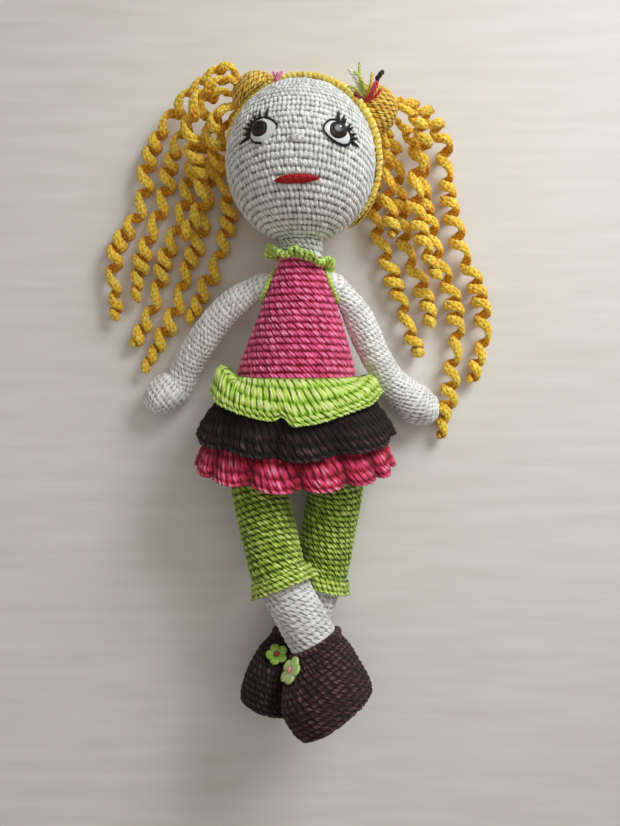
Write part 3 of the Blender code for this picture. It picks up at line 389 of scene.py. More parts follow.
class Tree:
    """Shorthand for making the nodes of a material."""

    def __init__(self, name):
        self.made = bpy.data.materials.new(name)
        self.made.use_nodes = True
        self.nodes, self.links = self.made.node_tree.nodes, self.made.node_tree.links
        self.shader = self.nodes["Principled BSDF"]

    def add(self, kind, settings=None, **inputs):
        node = self.nodes.new(kind)
        for key, value in (settings or {}).items():
            setattr(node, key, value)
        for key, value in inputs.items():
            self.put(node.inputs[int(key[1:]) if key[0] == "i" and key[1:].isdigit() else key.replace("_", " ")],
                     value)
        return node

    def put(self, socket, value):
        if isinstance(value, bpy.types.NodeSocket):
            self.links.new(value, socket)
        else:
            socket.default_value = value

    def maths(self, operation, *values):
        node = self.add("ShaderNodeMath", {"operation": operation})
        for socket, value in zip(node.inputs, values):
            self.put(socket, value)
        return node.outputs[0]

    def noise(self, scale, detail, vector=None, roughness=0.5):
        if vector is None:
            vector = self.add("ShaderNodeTexCoord").outputs["Object"]
        return self.add("ShaderNodeTexNoise", Vector=vector, Scale=scale, Detail=detail,
                        Roughness=roughness).outputs["Fac"]

    def ramp(self, value, *stops):
        node = self.add("ShaderNodeValToRGB", Fac=value)
        line = node.color_ramp
        while len(line.elements) < len(stops):
            line.elements.new(0.5)
        for element, (place, colour) in zip(line.elements, stops):
            element.position = place
            element.color = (*colour, 1.0)
        return node.outputs["Color"]

    def map(self, value, low, high, to_low, to_high):
        return self.add("ShaderNodeMapRange", i0=value, i1=low, i2=high, i3=to_low, i4=to_high).outputs[0]

    def bump(self, height, strength, distance):
        return self.add("ShaderNodeBump", Height=height, Strength=strength, Distance=distance).outputs["Normal"]


# How unevenly the dye took, and how much lighter a ply's crest is painted, as a painted highlight
DYE_UNEVEN, PLY_PAINTED_HIGHLIGHT = 0.12, 0.06


def rgb(*parts):
    """A colour as the screen writes it, 0 to 255, in the linear values that a shader takes."""
    parts = [part / 255 for part in parts]
    return tuple(part / 12.92 if part < 0.04045 else ((part + 0.055) / 1.055) ** 2.4 for part in parts)


def yarn(name, top, groove_shade, deep=None, crest_highlight=None, sheen=0.2, rough=0.8):
    """Plied cotton: painted shade between the strands and a painted highlight along them, with loose fibres and
    uneven dye.
    """
    tree = Tree(name)
    depth = tree.add("ShaderNodeAttribute", {"attribute_name": "depth"}).outputs["Fac"]
    stitch = tree.add("ShaderNodeAttribute", {"attribute_name": "stitch"}).outputs["Vector"]
    parts = tree.add("ShaderNodeSeparateXYZ", Vector=stitch).outputs
    wander = tree.noise(260.0, 2.0)
    line = tree.maths("MULTIPLY_ADD", parts[0], 0.7, tree.maths("MULTIPLY_ADD", parts[1], 1.6, wander))
    ply = tree.maths("SINE", tree.maths("MULTIPLY", line, TAU))
    fibre = tree.noise(1900.0, 3.0, roughness=0.7)
    patchy = tree.noise(70.0, 3.0)
    deep = deep or tuple(part * 0.3 for part in groove_shade)
    crest_highlight = crest_highlight or tuple(part + 0.25 * (1 - part) * part ** 0.5 for part in top)
    # Painted shade in the grooves and deepest gaps, and a painted highlight on the crests, set by the relief's height
    shade = tree.ramp(depth, (0.1, deep), (0.45, groove_shade), (0.76, top), (1.0, crest_highlight))
    dye_and_ply_highlight = tree.maths("ADD", tree.map(patchy, 0.3, 0.7, 1 - DYE_UNEVEN, 1 + DYE_UNEVEN * 0.5),
                       tree.map(fibre, 0.3, 0.7, -0.1, 0.08))
    # Painted highlight along the crests of the plies
    dye_and_ply_highlight = tree.maths("ADD", dye_and_ply_highlight, tree.maths("MULTIPLY", ply, PLY_PAINTED_HIGHLIGHT))
    dye_and_ply_highlight = tree.maths("ADD", dye_and_ply_highlight, tree.maths("MULTIPLY", parts[2], 0.08))
    colour = tree.add("ShaderNodeHueSaturation", Color=shade, Value=dye_and_ply_highlight,
                      Hue=tree.map(tree.noise(240.0, 1.0), 0.3, 0.7, 0.494, 0.506)).outputs["Color"]
    tree.put(tree.shader.inputs["Base Color"], colour)
    tree.put(tree.shader.inputs["Roughness"], tree.map(fibre, 0.3, 0.7, rough - 0.1, rough + 0.12))
    tree.shader.inputs["Sheen Weight"].default_value = sheen
    tree.shader.inputs["Sheen Roughness"].default_value = 0.5
    tree.shader.inputs["Specular IOR Level"].default_value = 0.35
    height = tree.maths("ADD", tree.maths("MULTIPLY", ply, 0.5), tree.maths("MULTIPLY", fibre, 0.9))
    tree.put(tree.shader.inputs["Normal"], tree.bump(height, 0.55, 0.00035))
    return tree.made


def gloss(name, colour, other, rough=0.12, scale=300.0, coat=0.6):
    """Smooth plastic or glass with faint mottling."""
    tree = Tree(name)
    cloud = tree.noise(scale, 3.0)
    tree.put(tree.shader.inputs["Base Color"], tree.ramp(cloud, (0.35, colour), (0.65, other)))
    tree.put(tree.shader.inputs["Roughness"], tree.map(cloud, 0.3, 0.7, rough * 0.8, rough * 1.3))
    tree.shader.inputs["Coat Weight"].default_value = coat
    tree.shader.inputs["Coat Roughness"].default_value = 0.06
    tree.put(tree.shader.inputs["Normal"], tree.bump(tree.noise(scale * 4, 2.0), 0.08, 0.0001))
    return tree.made


def floor_look():
    tree = Tree("floor_look")
    place = tree.add("ShaderNodeTexCoord").outputs["Object"]
    long = tree.add("ShaderNodeMapping", Vector=place, Scale=(1.0, 9.0, 1.0)).outputs["Vector"]
    grain = tree.noise(14.0, 4.0, long)
    tree.put(tree.shader.inputs["Base Color"], tree.ramp(grain, (0.3, rgb(224, 221, 216)), (0.7, rgb(233, 231, 227))))
    tree.put(tree.shader.inputs["Roughness"], tree.map(grain, 0.3, 0.7, 0.62, 0.74))
    tree.put(tree.shader.inputs["Normal"], tree.bump(grain, 0.1, 0.0004))
    return tree.made


# Camera, lights and floor

def make_camera():
    data = bpy.data.cameras.new("camera")
    data.sensor_width = 36.0
    data.lens = 43.6
    data.clip_start = 0.01
    camera = bpy.data.objects.new("camera", data)
    bpy.context.scene.collection.objects.link(camera)
    camera.location = (CAMERA_PLACE[0] * MM, CAMERA_PLACE[1] * MM, CAMERA_HEIGHT * MM)
    bpy.context.scene.camera = camera
    bpy.context.scene.view_settings.view_transform = "Standard"


def area_light(name, place, aim, size, power, colour, spread=180):
    data = bpy.data.lights.new(name, "AREA")
    data.shape = "RECTANGLE"
    data.size, data.size_y = size
    data.energy = power
    data.spread = math.radians(spread)
    data.color = colour
    lamp = bpy.data.objects.new(name, data)
    bpy.context.scene.collection.objects.link(lamp)
    lamp.location = place
    lamp.rotation_euler = (Vector(aim) - Vector(place)).to_track_quat("-Z", "Y").to_euler()


def make_light():
    # A narrower spread keeps the floor under the window from burning out
    area_light("window", (0.56, 0.61, 0.54), (0.12, 0.07, 0.02), (0.5, 0.5), 1.62, (0.97, 1.0, 1.0), spread=81)
    area_light("ceiling", (0.1, 0.1, 1.3), (0.0, 0.0, 0.0), (1.2, 1.2), 2.7, (1.0, 0.98, 0.95))
    world = bpy.data.worlds.new("room")
    bpy.context.scene.world = world
    world.use_nodes = True
    back = world.node_tree.nodes["Background"]
    back.inputs["Color"].default_value = (1.0, 0.93, 0.85, 1.0)
    back.inputs["Strength"].default_value = 0.26


def make_floor():
    line = np.linspace(-FLOOR_HALF, FLOOR_HALF, 9)
    x, y = np.meshgrid(line, line)
    grid = np.stack([x, y, 0 * x - TABLE_GAP], axis=-1)
    floor = grid_piece("floor", grid, floor_look(), None, closed=False, towards=UP)


# Locks

ROUTES = {
    "right": (
        ((-38, 193, 33), (-53, 185, 22), (-69, 174, 12), (-80, 160, 7), (-86, 145, 7), (-88, 130, 7),
         (-91, 116, 7), (-98, 105, 7), (-105, 93, 7), (-106, 75, 7), (-104, 52, 7)),
        ((-43, 179, 31), (-54, 170, 21), (-65, 160, 12), (-72, 147, 7), (-75, 132, 7), (-78, 118, 7),
         (-84, 104, 7), (-89, 89, 7), (-92, 75, 7), (-93, 63, 7)),
        ((-40, 170, 29), (-49, 159, 18), (-56.5, 147, 9), (-62, 133, 7), (-65, 118, 7), (-70, 103, 7),
         (-76, 88, 7), (-79, 73, 7), (-83, 59, 7), (-89, 47, 7), (-95, 36, 7)),
        ((-36, 166, 22), (-43, 152, 13), (-48, 139, 7), (-51, 125, 7), (-53, 110, 7), (-57, 96, 7),
         (-63, 82, 7), (-66, 68, 7), (-71, 55, 7), (-77, 42, 7), (-84, 30, 7), (-88, 21, 7)),
        ((-42, 164, 41), (-45, 152, 30), (-42, 140, 19), (-39, 127, 9), (-38, 113, 7), (-41, 99, 7),
         (-45, 86, 7), (-51.0, 73, 7), (-56.8, 61, 7), (-62, 50, 7)),
        ((-36, 182, 46), (-49, 176, 42), (-58, 162, 35), (-56, 145, 27), (-53, 131, 21), (-53, 118, 20.5),
         (-58, 107, 20.5), (-64, 98, 20.5)),
    ),
    "left": (
        ((62, 174, 33), (76, 171, 22), (86, 162, 11), (90, 149, 7), (91, 134, 7), (93, 118, 7),
         (97, 102, 7), (102, 87, 7), (108, 73, 7), (112, 58, 7), (113, 43, 7), (109, 28, 7), (105, 15, 7)),
        ((60, 163, 30), (70, 156, 17), (76, 144, 9), (77, 130, 7), (79, 115, 7), (82, 100, 7),
         (87, 85, 7), (93, 70, 7), (96, 55, 7), (97, 40, 7), (94, 26, 7), (93, 10, 7), (89, -6, 7),
         (87, -18, 7)),
        ((56, 156, 27), (61, 146, 14), (62, 132, 7.5), (63, 118, 7), (65, 103, 7), (69, 88, 7),
         (75, 74, 7), (80, 60, 7), (82, 47, 7)),
        ((49, 151, 22), (47, 142, 11), (47, 130, 7), (48, 115, 7), (51, 100, 7), (56, 85, 7),
         (61, 71, 7), (66, 57, 7), (70, 42, 7), (77, 31, 7)),
        ((62, 168, 40), (72, 160, 34), (75, 148, 25), (71, 134, 20), (71, 118, 19), (74, 102, 19),
         (79, 87, 19), (85, 74, 19)),
        ((52, 153, 33), (55, 143, 22), (55, 129, 19), (56, 114, 19), (59, 99, 19)),
    ),
}
LOCK_COIL = 3.5
LOCK_WIDE, LOCK_THICK = 5.4, 3.2
LOCK_PITCH, LOCK_TIGHT_PITCH = 13.5, 8.6
LOCK_TIGHT_LENGTH = 26.0
LOCK_LEAD = 30.0
LOCK_ROW = 2.6
LOCK_LINGER = 0.5
LOCK_SPACING = 0.42


def lock_path(side, route, number):
    """Where a lock's strip runs, and which way it faces: out of its bun, then round and round its route."""
    spots = np.array(route, float)
    way = unit(spots[0] - BUNS[side])
    start = BUNS[side] + way * (BUN_RADIUS - 1.0)
    centres = even(spline(np.vstack([start, spots]), 12), 0.5)
    travelled = reach_of(centres)
    left = travelled[-1] - travelled
    across, up = frames(centres, np.cross(UP, way))
    tight = ease((LOCK_TIGHT_LENGTH - left) / LOCK_TIGHT_LENGTH * 1.4)
    wobble = 1 + 0.28 * np.sin(travelled / 9.0 + number * 1.7) + 0.12 * np.sin(travelled / 5.3 + number * 2.9)
    pitch = (LOCK_PITCH * wobble) * (1 - tight) + LOCK_TIGHT_PITCH * tight
    turn = -np.concatenate([[0.0], np.cumsum(TAU * 0.5 / pitch[:-1])]) + number * 0.9
    # It lingers in front, so the front passes are long and the back ones are short
    turn = turn + LOCK_LINGER * np.cos(turn)
    swell = 1 + 0.2 * np.sin(travelled / 8.0 + number * 2.3) + 0.08 * np.sin(travelled / 4.1 + number)
    size = LOCK_COIL * swell * ease(travelled / LOCK_LEAD) * (1 - 0.25 * tight) * (1 - 0.75 * ease(1 - left / 5.0))
    out = across * np.cos(turn)[:, None] + up * np.sin(turn)[:, None]
    return centres + out * size[:, None], out


def make_lock(side, number, route, look):
    name = f"{side}_curl_{number}"
    path, facing = lock_path(side, route, number)
    length = reach_of(path)[-1]
    count = round(length / LOCK_SPACING)
    shares = np.arange(count + 1) / count
    centres = at_shares(path, shares)
    reach = reach_of(path) / length
    ahead = unit(np.gradient(centres, axis=0))
    outward = square_to(np.stack([np.interp(shares, reach, part) for part in facing.T], axis=1), ahead)
    travelled = shares * length
    end = ease((length - travelled) / 3.2) ** 0.5
    wide = LOCK_WIDE / 2 * (0.55 + 0.45 * ease(travelled / 14.0)) * (0.35 + 0.65 * end)
    thick = LOCK_THICK / 2 * (0.45 + 0.55 * end)
    grid = rings_round(centres, np.cross(ahead, outward), outward, turns(30), wide, thick)

    def shade(share):
        """Painted shade: the passes that face down, at the back, get the darker colour."""
        return (0.5 + 0.55 * ease(np.interp(share, shares, outward[:, 2]) + 0.5))[:, None]

    made = knit(name + "_lock", grid, look, None, row=LOCK_ROW, relief=1.0, fine=6, slant=-0.35, tall=0.54,
                strands=1, cleft=(0.4, 0.6), hole=0.75, dip=0.45, seed=40 + number, tips=(True, True),
                floor=TABLE_GAP, fixed=6, shade=shade)
    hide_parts(name)
    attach(made, "head")


def make_locks(looks):
    for side, routes in ROUTES.items():
        for number, route in enumerate(routes, 1):
            make_lock(side, number, route, looks["yellow"])


# Head and hair

HEAD_TILT = math.radians(19)
HEAD_ROLL = math.radians(-3.7)


def make_head(looks):
    """The head's rows run round an axis that leans back, and straighten towards the neck."""
    end = math.pi - math.asin(NECK_RADIUS / HEAD_SIZE[0]) + 0.1
    polar = np.linspace(0.015, end, 240)
    # Columns stand closer on the face than under the hair
    fine = np.linspace(0, TAU, 2001)
    weight = reach_of(np.cumsum(1 + 3.2 * ease(0.5 + np.sin(fine)))[:, None])
    around = np.interp(np.arange(HEAD_COLUMNS) / HEAD_COLUMNS, weight / weight[-1], fine)
    straighten = 1 - ease((polar / math.pi - 0.55) / 0.42)
    tilt, roll = HEAD_TILT * straighten[:, None], HEAD_ROLL * straighten[:, None]
    x, y, z = np.moveaxis(ball_rings(0.0, np.eye(3)[[1, 0, 2]], polar, around, 1.0, 1.0), 2, 0)
    y, z = y * np.cos(tilt) + z * np.sin(tilt), z * np.cos(tilt) - y * np.sin(tilt)
    x, y = x * np.cos(roll) - y * np.sin(roll), y * np.cos(roll) + x * np.sin(roll)
    grid = HEAD + np.stack([x, y, z], axis=-1) * HEAD_SIZE
    made = knit("head_crochet", grid, looks["cream"], "head", stitch=2.5, row=3.55, fine=6, seed=3,
                tips=(True, True), slant=-0.2, tall=0.54, strands=1, cleft=(0.2, 0.6), dip=0.92, hole=0.6,
                across=around / TAU)
    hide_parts("head_shell", "head_stuffing")


def over_cap(angle, direction):
    """Directions from the head's middle, at angles from the cap's back pole."""
    return CAP_POLE * np.cos(angle)[..., None] + direction * np.sin(angle)[..., None]


def cap_rim(direction):
    """How far the cap reaches from its back pole, as an angle, towards each direction."""
    ahead, rise_x, rise_y = CAP_RIM
    angles = np.linspace(0.05, 2.6, 400)
    points = over_cap(angles[:, None], direction) * (HEAD_SIZE + CAP_REACH)
    past = (points[..., 2] > ahead + rise_x * points[..., 0] + rise_y * points[..., 1]) | (points[..., 1] < CAP_NAPE)
    end = angles[np.argmax(past, axis=0)]
    return np.convolve(np.concatenate([end[-4:], end, end[:4]]), np.ones(9) / 9, "valid")


def cap_hidden(points):
    """1 where the hair is out of sight behind the head: low on the doll's right, and at the nape."""
    x, y = points[..., 0] - HEAD[0], points[..., 1] - HEAD[1]
    return np.clip(ease((22 - y) / 26) * ease((6 - x) / 18) + ease((-30 - y) / 10), 0, 1)


def make_cap(looks):
    """The hair: rows round the back of the head, out to the rim, and a plain lining behind the rim."""
    first = unit(np.cross(CAP_POLE, vec(0, 1, 0)))
    second = np.cross(CAP_POLE, first)
    turn = turns(480)
    direction = first * np.cos(turn)[:, None] + second * np.sin(turn)[:, None]
    end = cap_rim(direction)
    over = over_cap(np.linspace(0.01, 1.0, 160)[:, None] * end, direction)
    grid = HEAD + over * (HEAD_SIZE + CAP_REACH)
    grid = grid - unit(grid - HEAD) * (2.6 * cap_hidden(grid))[..., None]
    made = knit("cap_crochet", grid, looks["yellow"], "head", stitch=4.1, row=3.7, seed=5,
                tips=(True, False), floor=TABLE_GAP)
    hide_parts("hair_cap")
    inner = (HEAD + over * (HEAD_SIZE + 0.5))[60:]
    inner[..., 2] = np.maximum(inner[..., 2], 0.6)
    lining = grid_piece("cap_lining", inner, looks["yellow"], "head", fields=plain_fields(inner, 0.3, (1, 1, 0)))
    make_cap_edge(HEAD + over_cap(end, direction) * (HEAD_SIZE + 2.2), looks)


def make_cap_edge(rim, looks):
    """A crocheted chain along the rim, which thins and draws back out of sight below the ears."""
    rim = at_shares(np.vstack([rim, rim[:1]]), np.linspace(0, 1, 900))
    rim[:, 2] = np.maximum(rim[:, 2], 1.7)
    ahead = unit(np.gradient(rim, axis=0))
    out = square_to(unit(rim - HEAD), ahead)
    across = np.cross(ahead, out)
    low = ease((HEAD[1] + 6 - rim[:, 1] - 0.35 * (rim[:, 0] - HEAD[0])) / 34)
    rim = rim - out * (1.6 * low)[:, None] - UP * (2.5 * low * ease((rim[:, 2] - 4) / 6))[:, None]
    wide = 1 + 0.45 * bell(rim[:, 0] - HEAD[0] - 34, 20.0) * ease((rim[:, 1] - HEAD[1] + 10) / 30)
    hidden = cap_hidden(rim)
    rim = rim - out * (1.4 * hidden)[:, None]
    size = (1 - 0.45 * low) * wide * (1 - 0.7 * hidden)
    edge = rings_round(rim, across, out, turns(30), 1.75 * size, 1.5 * size)
    band = knit("cap_edge", edge, looks["edge"], "head", row=2.9, relief=0.8, seed=6, floor=TABLE_GAP, **CHAIN)


def make_bun(side, looks):
    centre = BUNS[side]
    axis = unit(centre - HEAD)
    first = unit(np.cross(axis, UP))
    polar = np.linspace(0.03, math.pi - 0.03, 120)
    grid = ball_rings(centre, (axis, first, np.cross(axis, first)), polar, turns(200), BUN_RADIUS, BUN_RADIUS)
    grid = outside_ball(grid, HEAD, HEAD_SIZE + CAP_REACH + 0.4)
    made = knit(side + "_bun_crochet", grid, looks["ochre"], "head", stitch=3.5, row=3.0, relief=1.1, fine=6,
                seed=8, tips=(True, True))
    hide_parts(side + "_bun")


TIE_STRANDS = {
    "right": (
        ((-8.5, 177.0, 49.0), (-9.2, 181.0, 51.0), (-10.4, 184.3, 51.0), "yarn_pink", 0.75),
        ((-8.5, 177.0, 49.0), (-7.0, 181.0, 51.5), (-5.2, 184.4, 51.5), "yarn_pink", 0.75),
        ((-8.5, 177.0, 49.0), (-8.0, 180.5, 52.0), (-7.6, 183.6, 53.0), "yarn_pink", 0.75),
    ),
    "left": (
        ((40.0, 168.5, 52.0), (35.0, 177.0, 57.5), (31.0, 184.0, 57.0), "yarn_white", 0.8),
        ((40.0, 168.5, 52.0), (37.0, 178.0, 58.5), (36.8, 187.5, 57.0), "yarn_lime", 0.75),
        ((40.0, 168.5, 52.0), (38.5, 176.0, 59.0), (33.8, 182.0, 58.5), "yarn_lime", 0.75),
        ((40.0, 168.5, 52.0), (34.5, 173.0, 57.5), (29.5, 174.5, 56.0), "yarn_lime", 0.75),
        ((40.5, 168.5, 52.0), (42.8, 175.0, 58.5), (43.6, 181.5, 57.5), "yarn_gold", 0.75),
        ((39.0, 167.0, 52.5), (43.6, 170.0, 58.5), (46.6, 176.5, 58.5), "yarn_red", 1.0),
        ((39.0, 167.0, 52.5), (45.0, 168.5, 58.0), (48.5, 172.5, 58.5), "yarn_red", 0.9),
        ((40.0, 167.5, 52.5), (36.5, 168.5, 57.5), (32.5, 171.5, 56.5), "yarn_wine", 1.1),
        ((41.0, 169.5, 52.5), (44.4, 174.5, 57.0), (46.8, 178.6, 58.0), "yarn_pink", 0.8),
        ((46.0, 177.5, 57.8), (47.8, 180.0, 58.6), (49.6, 182.3, 58.4), "yarn_dark", 1.3),
    ),
}


def strand(name, points, radius, look):
    """A short yarn end, its plies twisted round each other."""
    line = even(spline(np.array(points, float), 14), 0.25)
    travelled = reach_of(line)
    side, up = frames(line, vec(1, 0.2, 0))
    turn = turns(14)
    spiral = turn * 3 + travelled[:, None] * 2.6
    size = radius * (1 + 0.16 * np.cos(spiral)) * (1 - 0.3 * ease(1 - (travelled[-1] - travelled) / 1.2))[:, None]
    grid = rings_round(line, side, up, turn, size, size)
    return grid_piece(name, grid, look, "head", tips=(True, True), fields=twist_fields(spiral))


def make_ties(looks):
    for side, strands in TIE_STRANDS.items():
        for number, (*points, look, radius) in enumerate(strands, 1):
            made = strand(f"{side}_tie_strand_{number}", points, radius, looks[look])
            if number == 1:
                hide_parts(side + "_bun_tie")


# Face

LASH_LENGTH = 1.18
MOUTH_HALF = (12.0, 2.35)


def on_face(x, y, lift):
    """Points over the face, by their level places from the head's middle."""
    x, y = np.asarray(x, float), np.asarray(y, float)
    share = np.clip(1 - (x / HEAD_SIZE[0]) ** 2 - (y / HEAD_SIZE[1]) ** 2, 0, None)
    out = HEAD_SIZE[2] * np.sqrt(share)
    normal = unit(np.stack([x / HEAD_SIZE[0] ** 2, y / HEAD_SIZE[1] ** 2, out / HEAD_SIZE[2] ** 2], axis=-1))
    return HEAD + np.stack([x, y, out], axis=-1) + normal * np.broadcast_to(lift, x.shape)[..., None]


def closed_outline(points):
    """A smooth closed outline through points."""
    points = np.array(points, float)
    fine = spline(np.vstack([points[-2:], points, points[:3]]), 16)[2 * 16:(len(points) + 2) * 16]
    return at_shares(np.vstack([fine, fine[:1]]), np.arange(72) / 72)


def dome(name, outline, centre, lift, rise, look):
    """A low dome over the face, inside an outline, with a side wall down to the crochet."""
    share = np.linspace(0.02, 1.0, 16)
    flat = centre + (outline - centre) * share[:, None, None]
    height = lift + rise * np.sqrt(np.clip(1 - share ** 2.2, 0, 1))
    wall = on_face(outline[None, :, 0], outline[None, :, 1], -0.6)
    grid = np.concatenate([on_face(flat[..., 0], flat[..., 1], height[:, None]), wall])
    return grid_piece(name, grid, look, "head", tips=(True, False), fields=plain_fields(grid, 1.0, (0.4, 0.4, 0)),
                      towards=UP)


EYES = {
    "right": dict(
        white=((-25.6, 4.7), (-25.5, 8.0), (-24.9, 10.8), (-23.2, 13.0), (-20.7, 14.0), (-17.6, 13.8), (-14.8, 12.6),
               (-12.6, 10.4), (-11.8, 8.6), (-12.3, 6.9), (-14.6, 4.6), (-17.0, 2.6), (-19.8, 1.1), (-23.0, 1.7)),
        iris=(-20.4, 8.3), size=4.6, glint=(2.3, 3.9, 0.8), pupil=(-0.4, 0.9, 0.72),
        over=((-25.6, 4.6), (-25.5, 8.0), (-24.9, 10.8), (-23.2, 13.0), (-20.7, 14.2), (-17.6, 14.0), (-14.8, 12.8),
              (-12.4, 10.6), (-11.5, 8.8), (-12.1, 7.1)),
        under=((-25.6, 4.7), (-23.6, 1.9), (-19.8, 0.9)),
        lashes=(((-17.6, 14.0), (-16.6, 18.8)), ((-20.7, 14.2), (-20.7, 17.8)), ((-22.4, 13.2), (-24.1, 16.8)),
                ((-24.3, 12.0), (-25.7, 14.4)), ((-25.4, 10.8), (-27.4, 13.0)), ((-25.8, 9.0), (-28.8, 10.6)),
                ((-25.9, 7.2), (-28.6, 6.8)), ((-25.8, 5.3), (-30.5, 3.0))),
    ),
    "left": dict(
        white=((11.6, 8.0), (13.3, 11.1), (16.0, 12.5), (19.5, 12.1), (23.6, 8.4), (25.3, 5.7), (25.2, 2.8),
               (23.3, 0.6), (20.2, 0.5), (16.0, 2.4), (12.2, 5.9)),
        iris=(18.9, 7.3), size=4.8, glint=(0.6, 1.5, 0.75), pupil=(0.2, 0.5, 0.68),
        over=((11.6, 7.6), (12.2, 9.6), (13.6, 11.4), (16.0, 12.7), (19.5, 12.3), (23.6, 8.6), (25.5, 5.9),
              (25.5, 2.8), (24.6, 1.1)),
        under=((11.6, 7.6), (12.4, 5.6), (16.0, 2.2), (20.2, 0.3), (23.4, 0.4), (24.8, 1.3)),
        lashes=(((19.1, 12.4), (19.5, 17.7)), ((21.4, 10.9), (22.2, 15.9)), ((21.6, 10.7), (23.1, 14.2)),
                ((23.8, 8.6), (25.3, 11.9)), ((24.1, 8.2), (26.6, 10.3)), ((25.7, 6.1), (28.1, 7.3)),
                ((26.1, 4.2), (28.9, 5.1)), ((26.2, 2.6), (29.5, 1.1))),
    ),
}


def face_line(points, lift):
    """A line laid over the face."""
    fine = spline(np.array(points, float), 14)
    fine = at_shares(fine, np.linspace(0, 1, max(6, round(reach_of(fine)[-1] / 0.3))))
    return on_face(fine[:, 0], fine[:, 1], lift)


def thread_tube(line, sizes):
    """A thread along a line, and how its plies turn."""
    sizes = np.interp(np.linspace(0, 1, len(line)), np.linspace(0, 1, len(sizes)), sizes)
    side, up = frames(line, vec(0.3, 0.2, 1))
    turn = turns(12)
    spiral = turn * 2 + reach_of(line)[:, None] * 2.2
    size = sizes[:, None] * (1 + 0.08 * np.cos(spiral))
    return rings_round(line, side, up, turn, size, size), spiral


def join_tubes(name, tubes, look):
    """Several threads as one piece, each closed at its ends."""
    points, faces, depth, stitches = [], [], [], []
    offset = 0
    for grid, spiral in tubes:
        spots, found = grid_mesh(grid, True, (True, True), normals_of(grid, True))
        fields = twist_fields(spiral)
        points.append(spots)
        faces.extend([corner + offset for corner in face] for face in found)
        depth.append(np.concatenate([fields["depth"].ravel(), [0.6, 0.6]]))
        stitches.append(np.vstack([fields["stitch"].reshape(-1, 3), np.zeros((2, 3))]))
        offset += len(spots)
    return add_mesh(name, np.vstack(points), faces, look, "head",
                    {"depth": np.concatenate(depth), "stitch": np.vstack(stitches)})


def make_eye(side, looks):
    facts = EYES[side]
    white = closed_outline(facts["white"])
    made = dome(side + "_eye_glass", white, white.mean(axis=0), 0.9, 1.1, looks["eye_white"])
    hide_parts(side + "_eye_white")
    turn = turns(56)
    centre, size = np.array(facts["iris"]), facts["size"]
    ring = size * np.stack([np.cos(turn), np.sin(turn)], axis=-1)
    dark = dome(side + "_iris_rim", centre + ring, centre, 1.35, 1.15, looks["pupil"])
    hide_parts(side + "_iris")
    brown = dome(side + "_iris_colour", centre + ring * 0.76, centre, 1.75, 1.05, looks["iris"])
    *offset, share = facts["pupil"]
    pupil = dome(side + "_pupil", centre + offset + ring * share, centre + offset, 2.15, 0.85, looks["pupil"])
    # The glint is a painted reflection: a pale dome standing in for the light mirrored on the iris
    *offset, radius = facts["glint"]
    glint = dome(side + "_glint", centre + offset + ring * radius / size, centre + offset, 2.4, 0.75, looks["glint"])
    tubes = [thread_tube(face_line(facts["over"], 1.3), (0.4, 0.6, 0.68, 0.6, 0.4)),
             thread_tube(face_line(facts["under"], 1.1), (0.4, 0.6, 0.75))]
    for start, end in np.array(facts["lashes"]):
        tubes.append(thread_tube(face_line((start, start + (end - start) * LASH_LENGTH), 1.1), (0.85, 0.8, 0.3)))
    lines = join_tubes(side + "_eye_lines", tubes, looks["thread"])
    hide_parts(side + "_lashes")


def make_nose(looks):
    """Satin stitches side by side, across the bump."""
    tubes = []
    for share in (np.arange(7) - 3) / 3.0:
        half = 3.7 * math.sqrt(1 - 0.6 * share ** 2)
        x = np.linspace(-half, half, 30)
        lift = 0.5 + 0.9 * (1 - share ** 2 * 0.6) * np.sqrt(np.clip(1 - x ** 2 / half ** 2, 0, 1))
        line = on_face(x - 1.8, 2.0 + share * 1.6 + 0.5 * (1 - (x / half) ** 2) - 0.12 * x, lift)
        tubes.append(thread_tube(line, (0.35, 0.6, 0.6, 0.35)))
    made = join_tubes("nose_stitches", tubes, looks["cream_thread"])
    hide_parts("nose")


def make_mouth(looks):
    """A red lens of satin stitches."""
    x = np.linspace(-1, 1, 90)[None, :]
    y = np.linspace(-1, 1, 25)[:, None]
    tall = MOUTH_HALF[1] * (1 - np.abs(x) ** 2.8) ** 0.85
    px = x * MOUTH_HALF[0] - 1.8 + 0 * y
    py = y * tall - 17.8 + 0.045 * px + 0.35
    lift = 0.55 + 1.35 * np.sqrt(np.clip(1 - y ** 2, 0, 1)) * np.clip(tall / MOUTH_HALF[1], 0, 1) ** 0.5
    grid = on_face(px, py, lift + 0.08 * np.sin(px * 7.0 + y * 1.2))
    made = grid_piece("mouth_satin", grid, looks["red"], "head", closed=False, towards=UP,
                      fields=plain_fields(grid, 0.85, (0.4, 0.1, 0)))
    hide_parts("mouth")


# Torso, collar and edgings

TORSO_SHARES = (
    (0.0, 0.72, 0.61, 0.0), (0.015, 0.88, 0.84, 0.0), (0.06, 0.98, 0.96, 0.0), (0.12, 1.0, 1.0, 0.0),
    (0.25, 1.0, 1.0, 0.0), (0.35, 0.945, 0.98, 0.08), (0.52, 0.78, 0.86, 0.25), (0.69, 0.61, 0.71, 0.45),
    (0.78, 0.51, 0.62, 0.6), (0.85, 0.42, 0.53, 0.75), (0.92, 0.345, 0.46, 0.9),
    (1.0, NECK_RADIUS / WAIST[0], NECK_RADIUS / WAIST[1], 1.0),
)


def torso_section(share):
    rows = np.array(TORSO_SHARES)
    wide, deep, rise = (np.interp(share, rows[:, 0], rows[:, column]) for column in (1, 2, 3))
    centre = vec(HEAD[0] - 3.8 * (1 - share), TORSO_BOTTOM_Y + TORSO_LENGTH * share,
                 WAIST_Z + (HEAD[2] - WAIST_Z) * rise)
    return centre, wide * WAIST[0], deep * WAIST[1]


def torso_share(y):
    return min(max((y - TORSO_BOTTOM_Y) / TORSO_LENGTH, 0.0), 1.0)


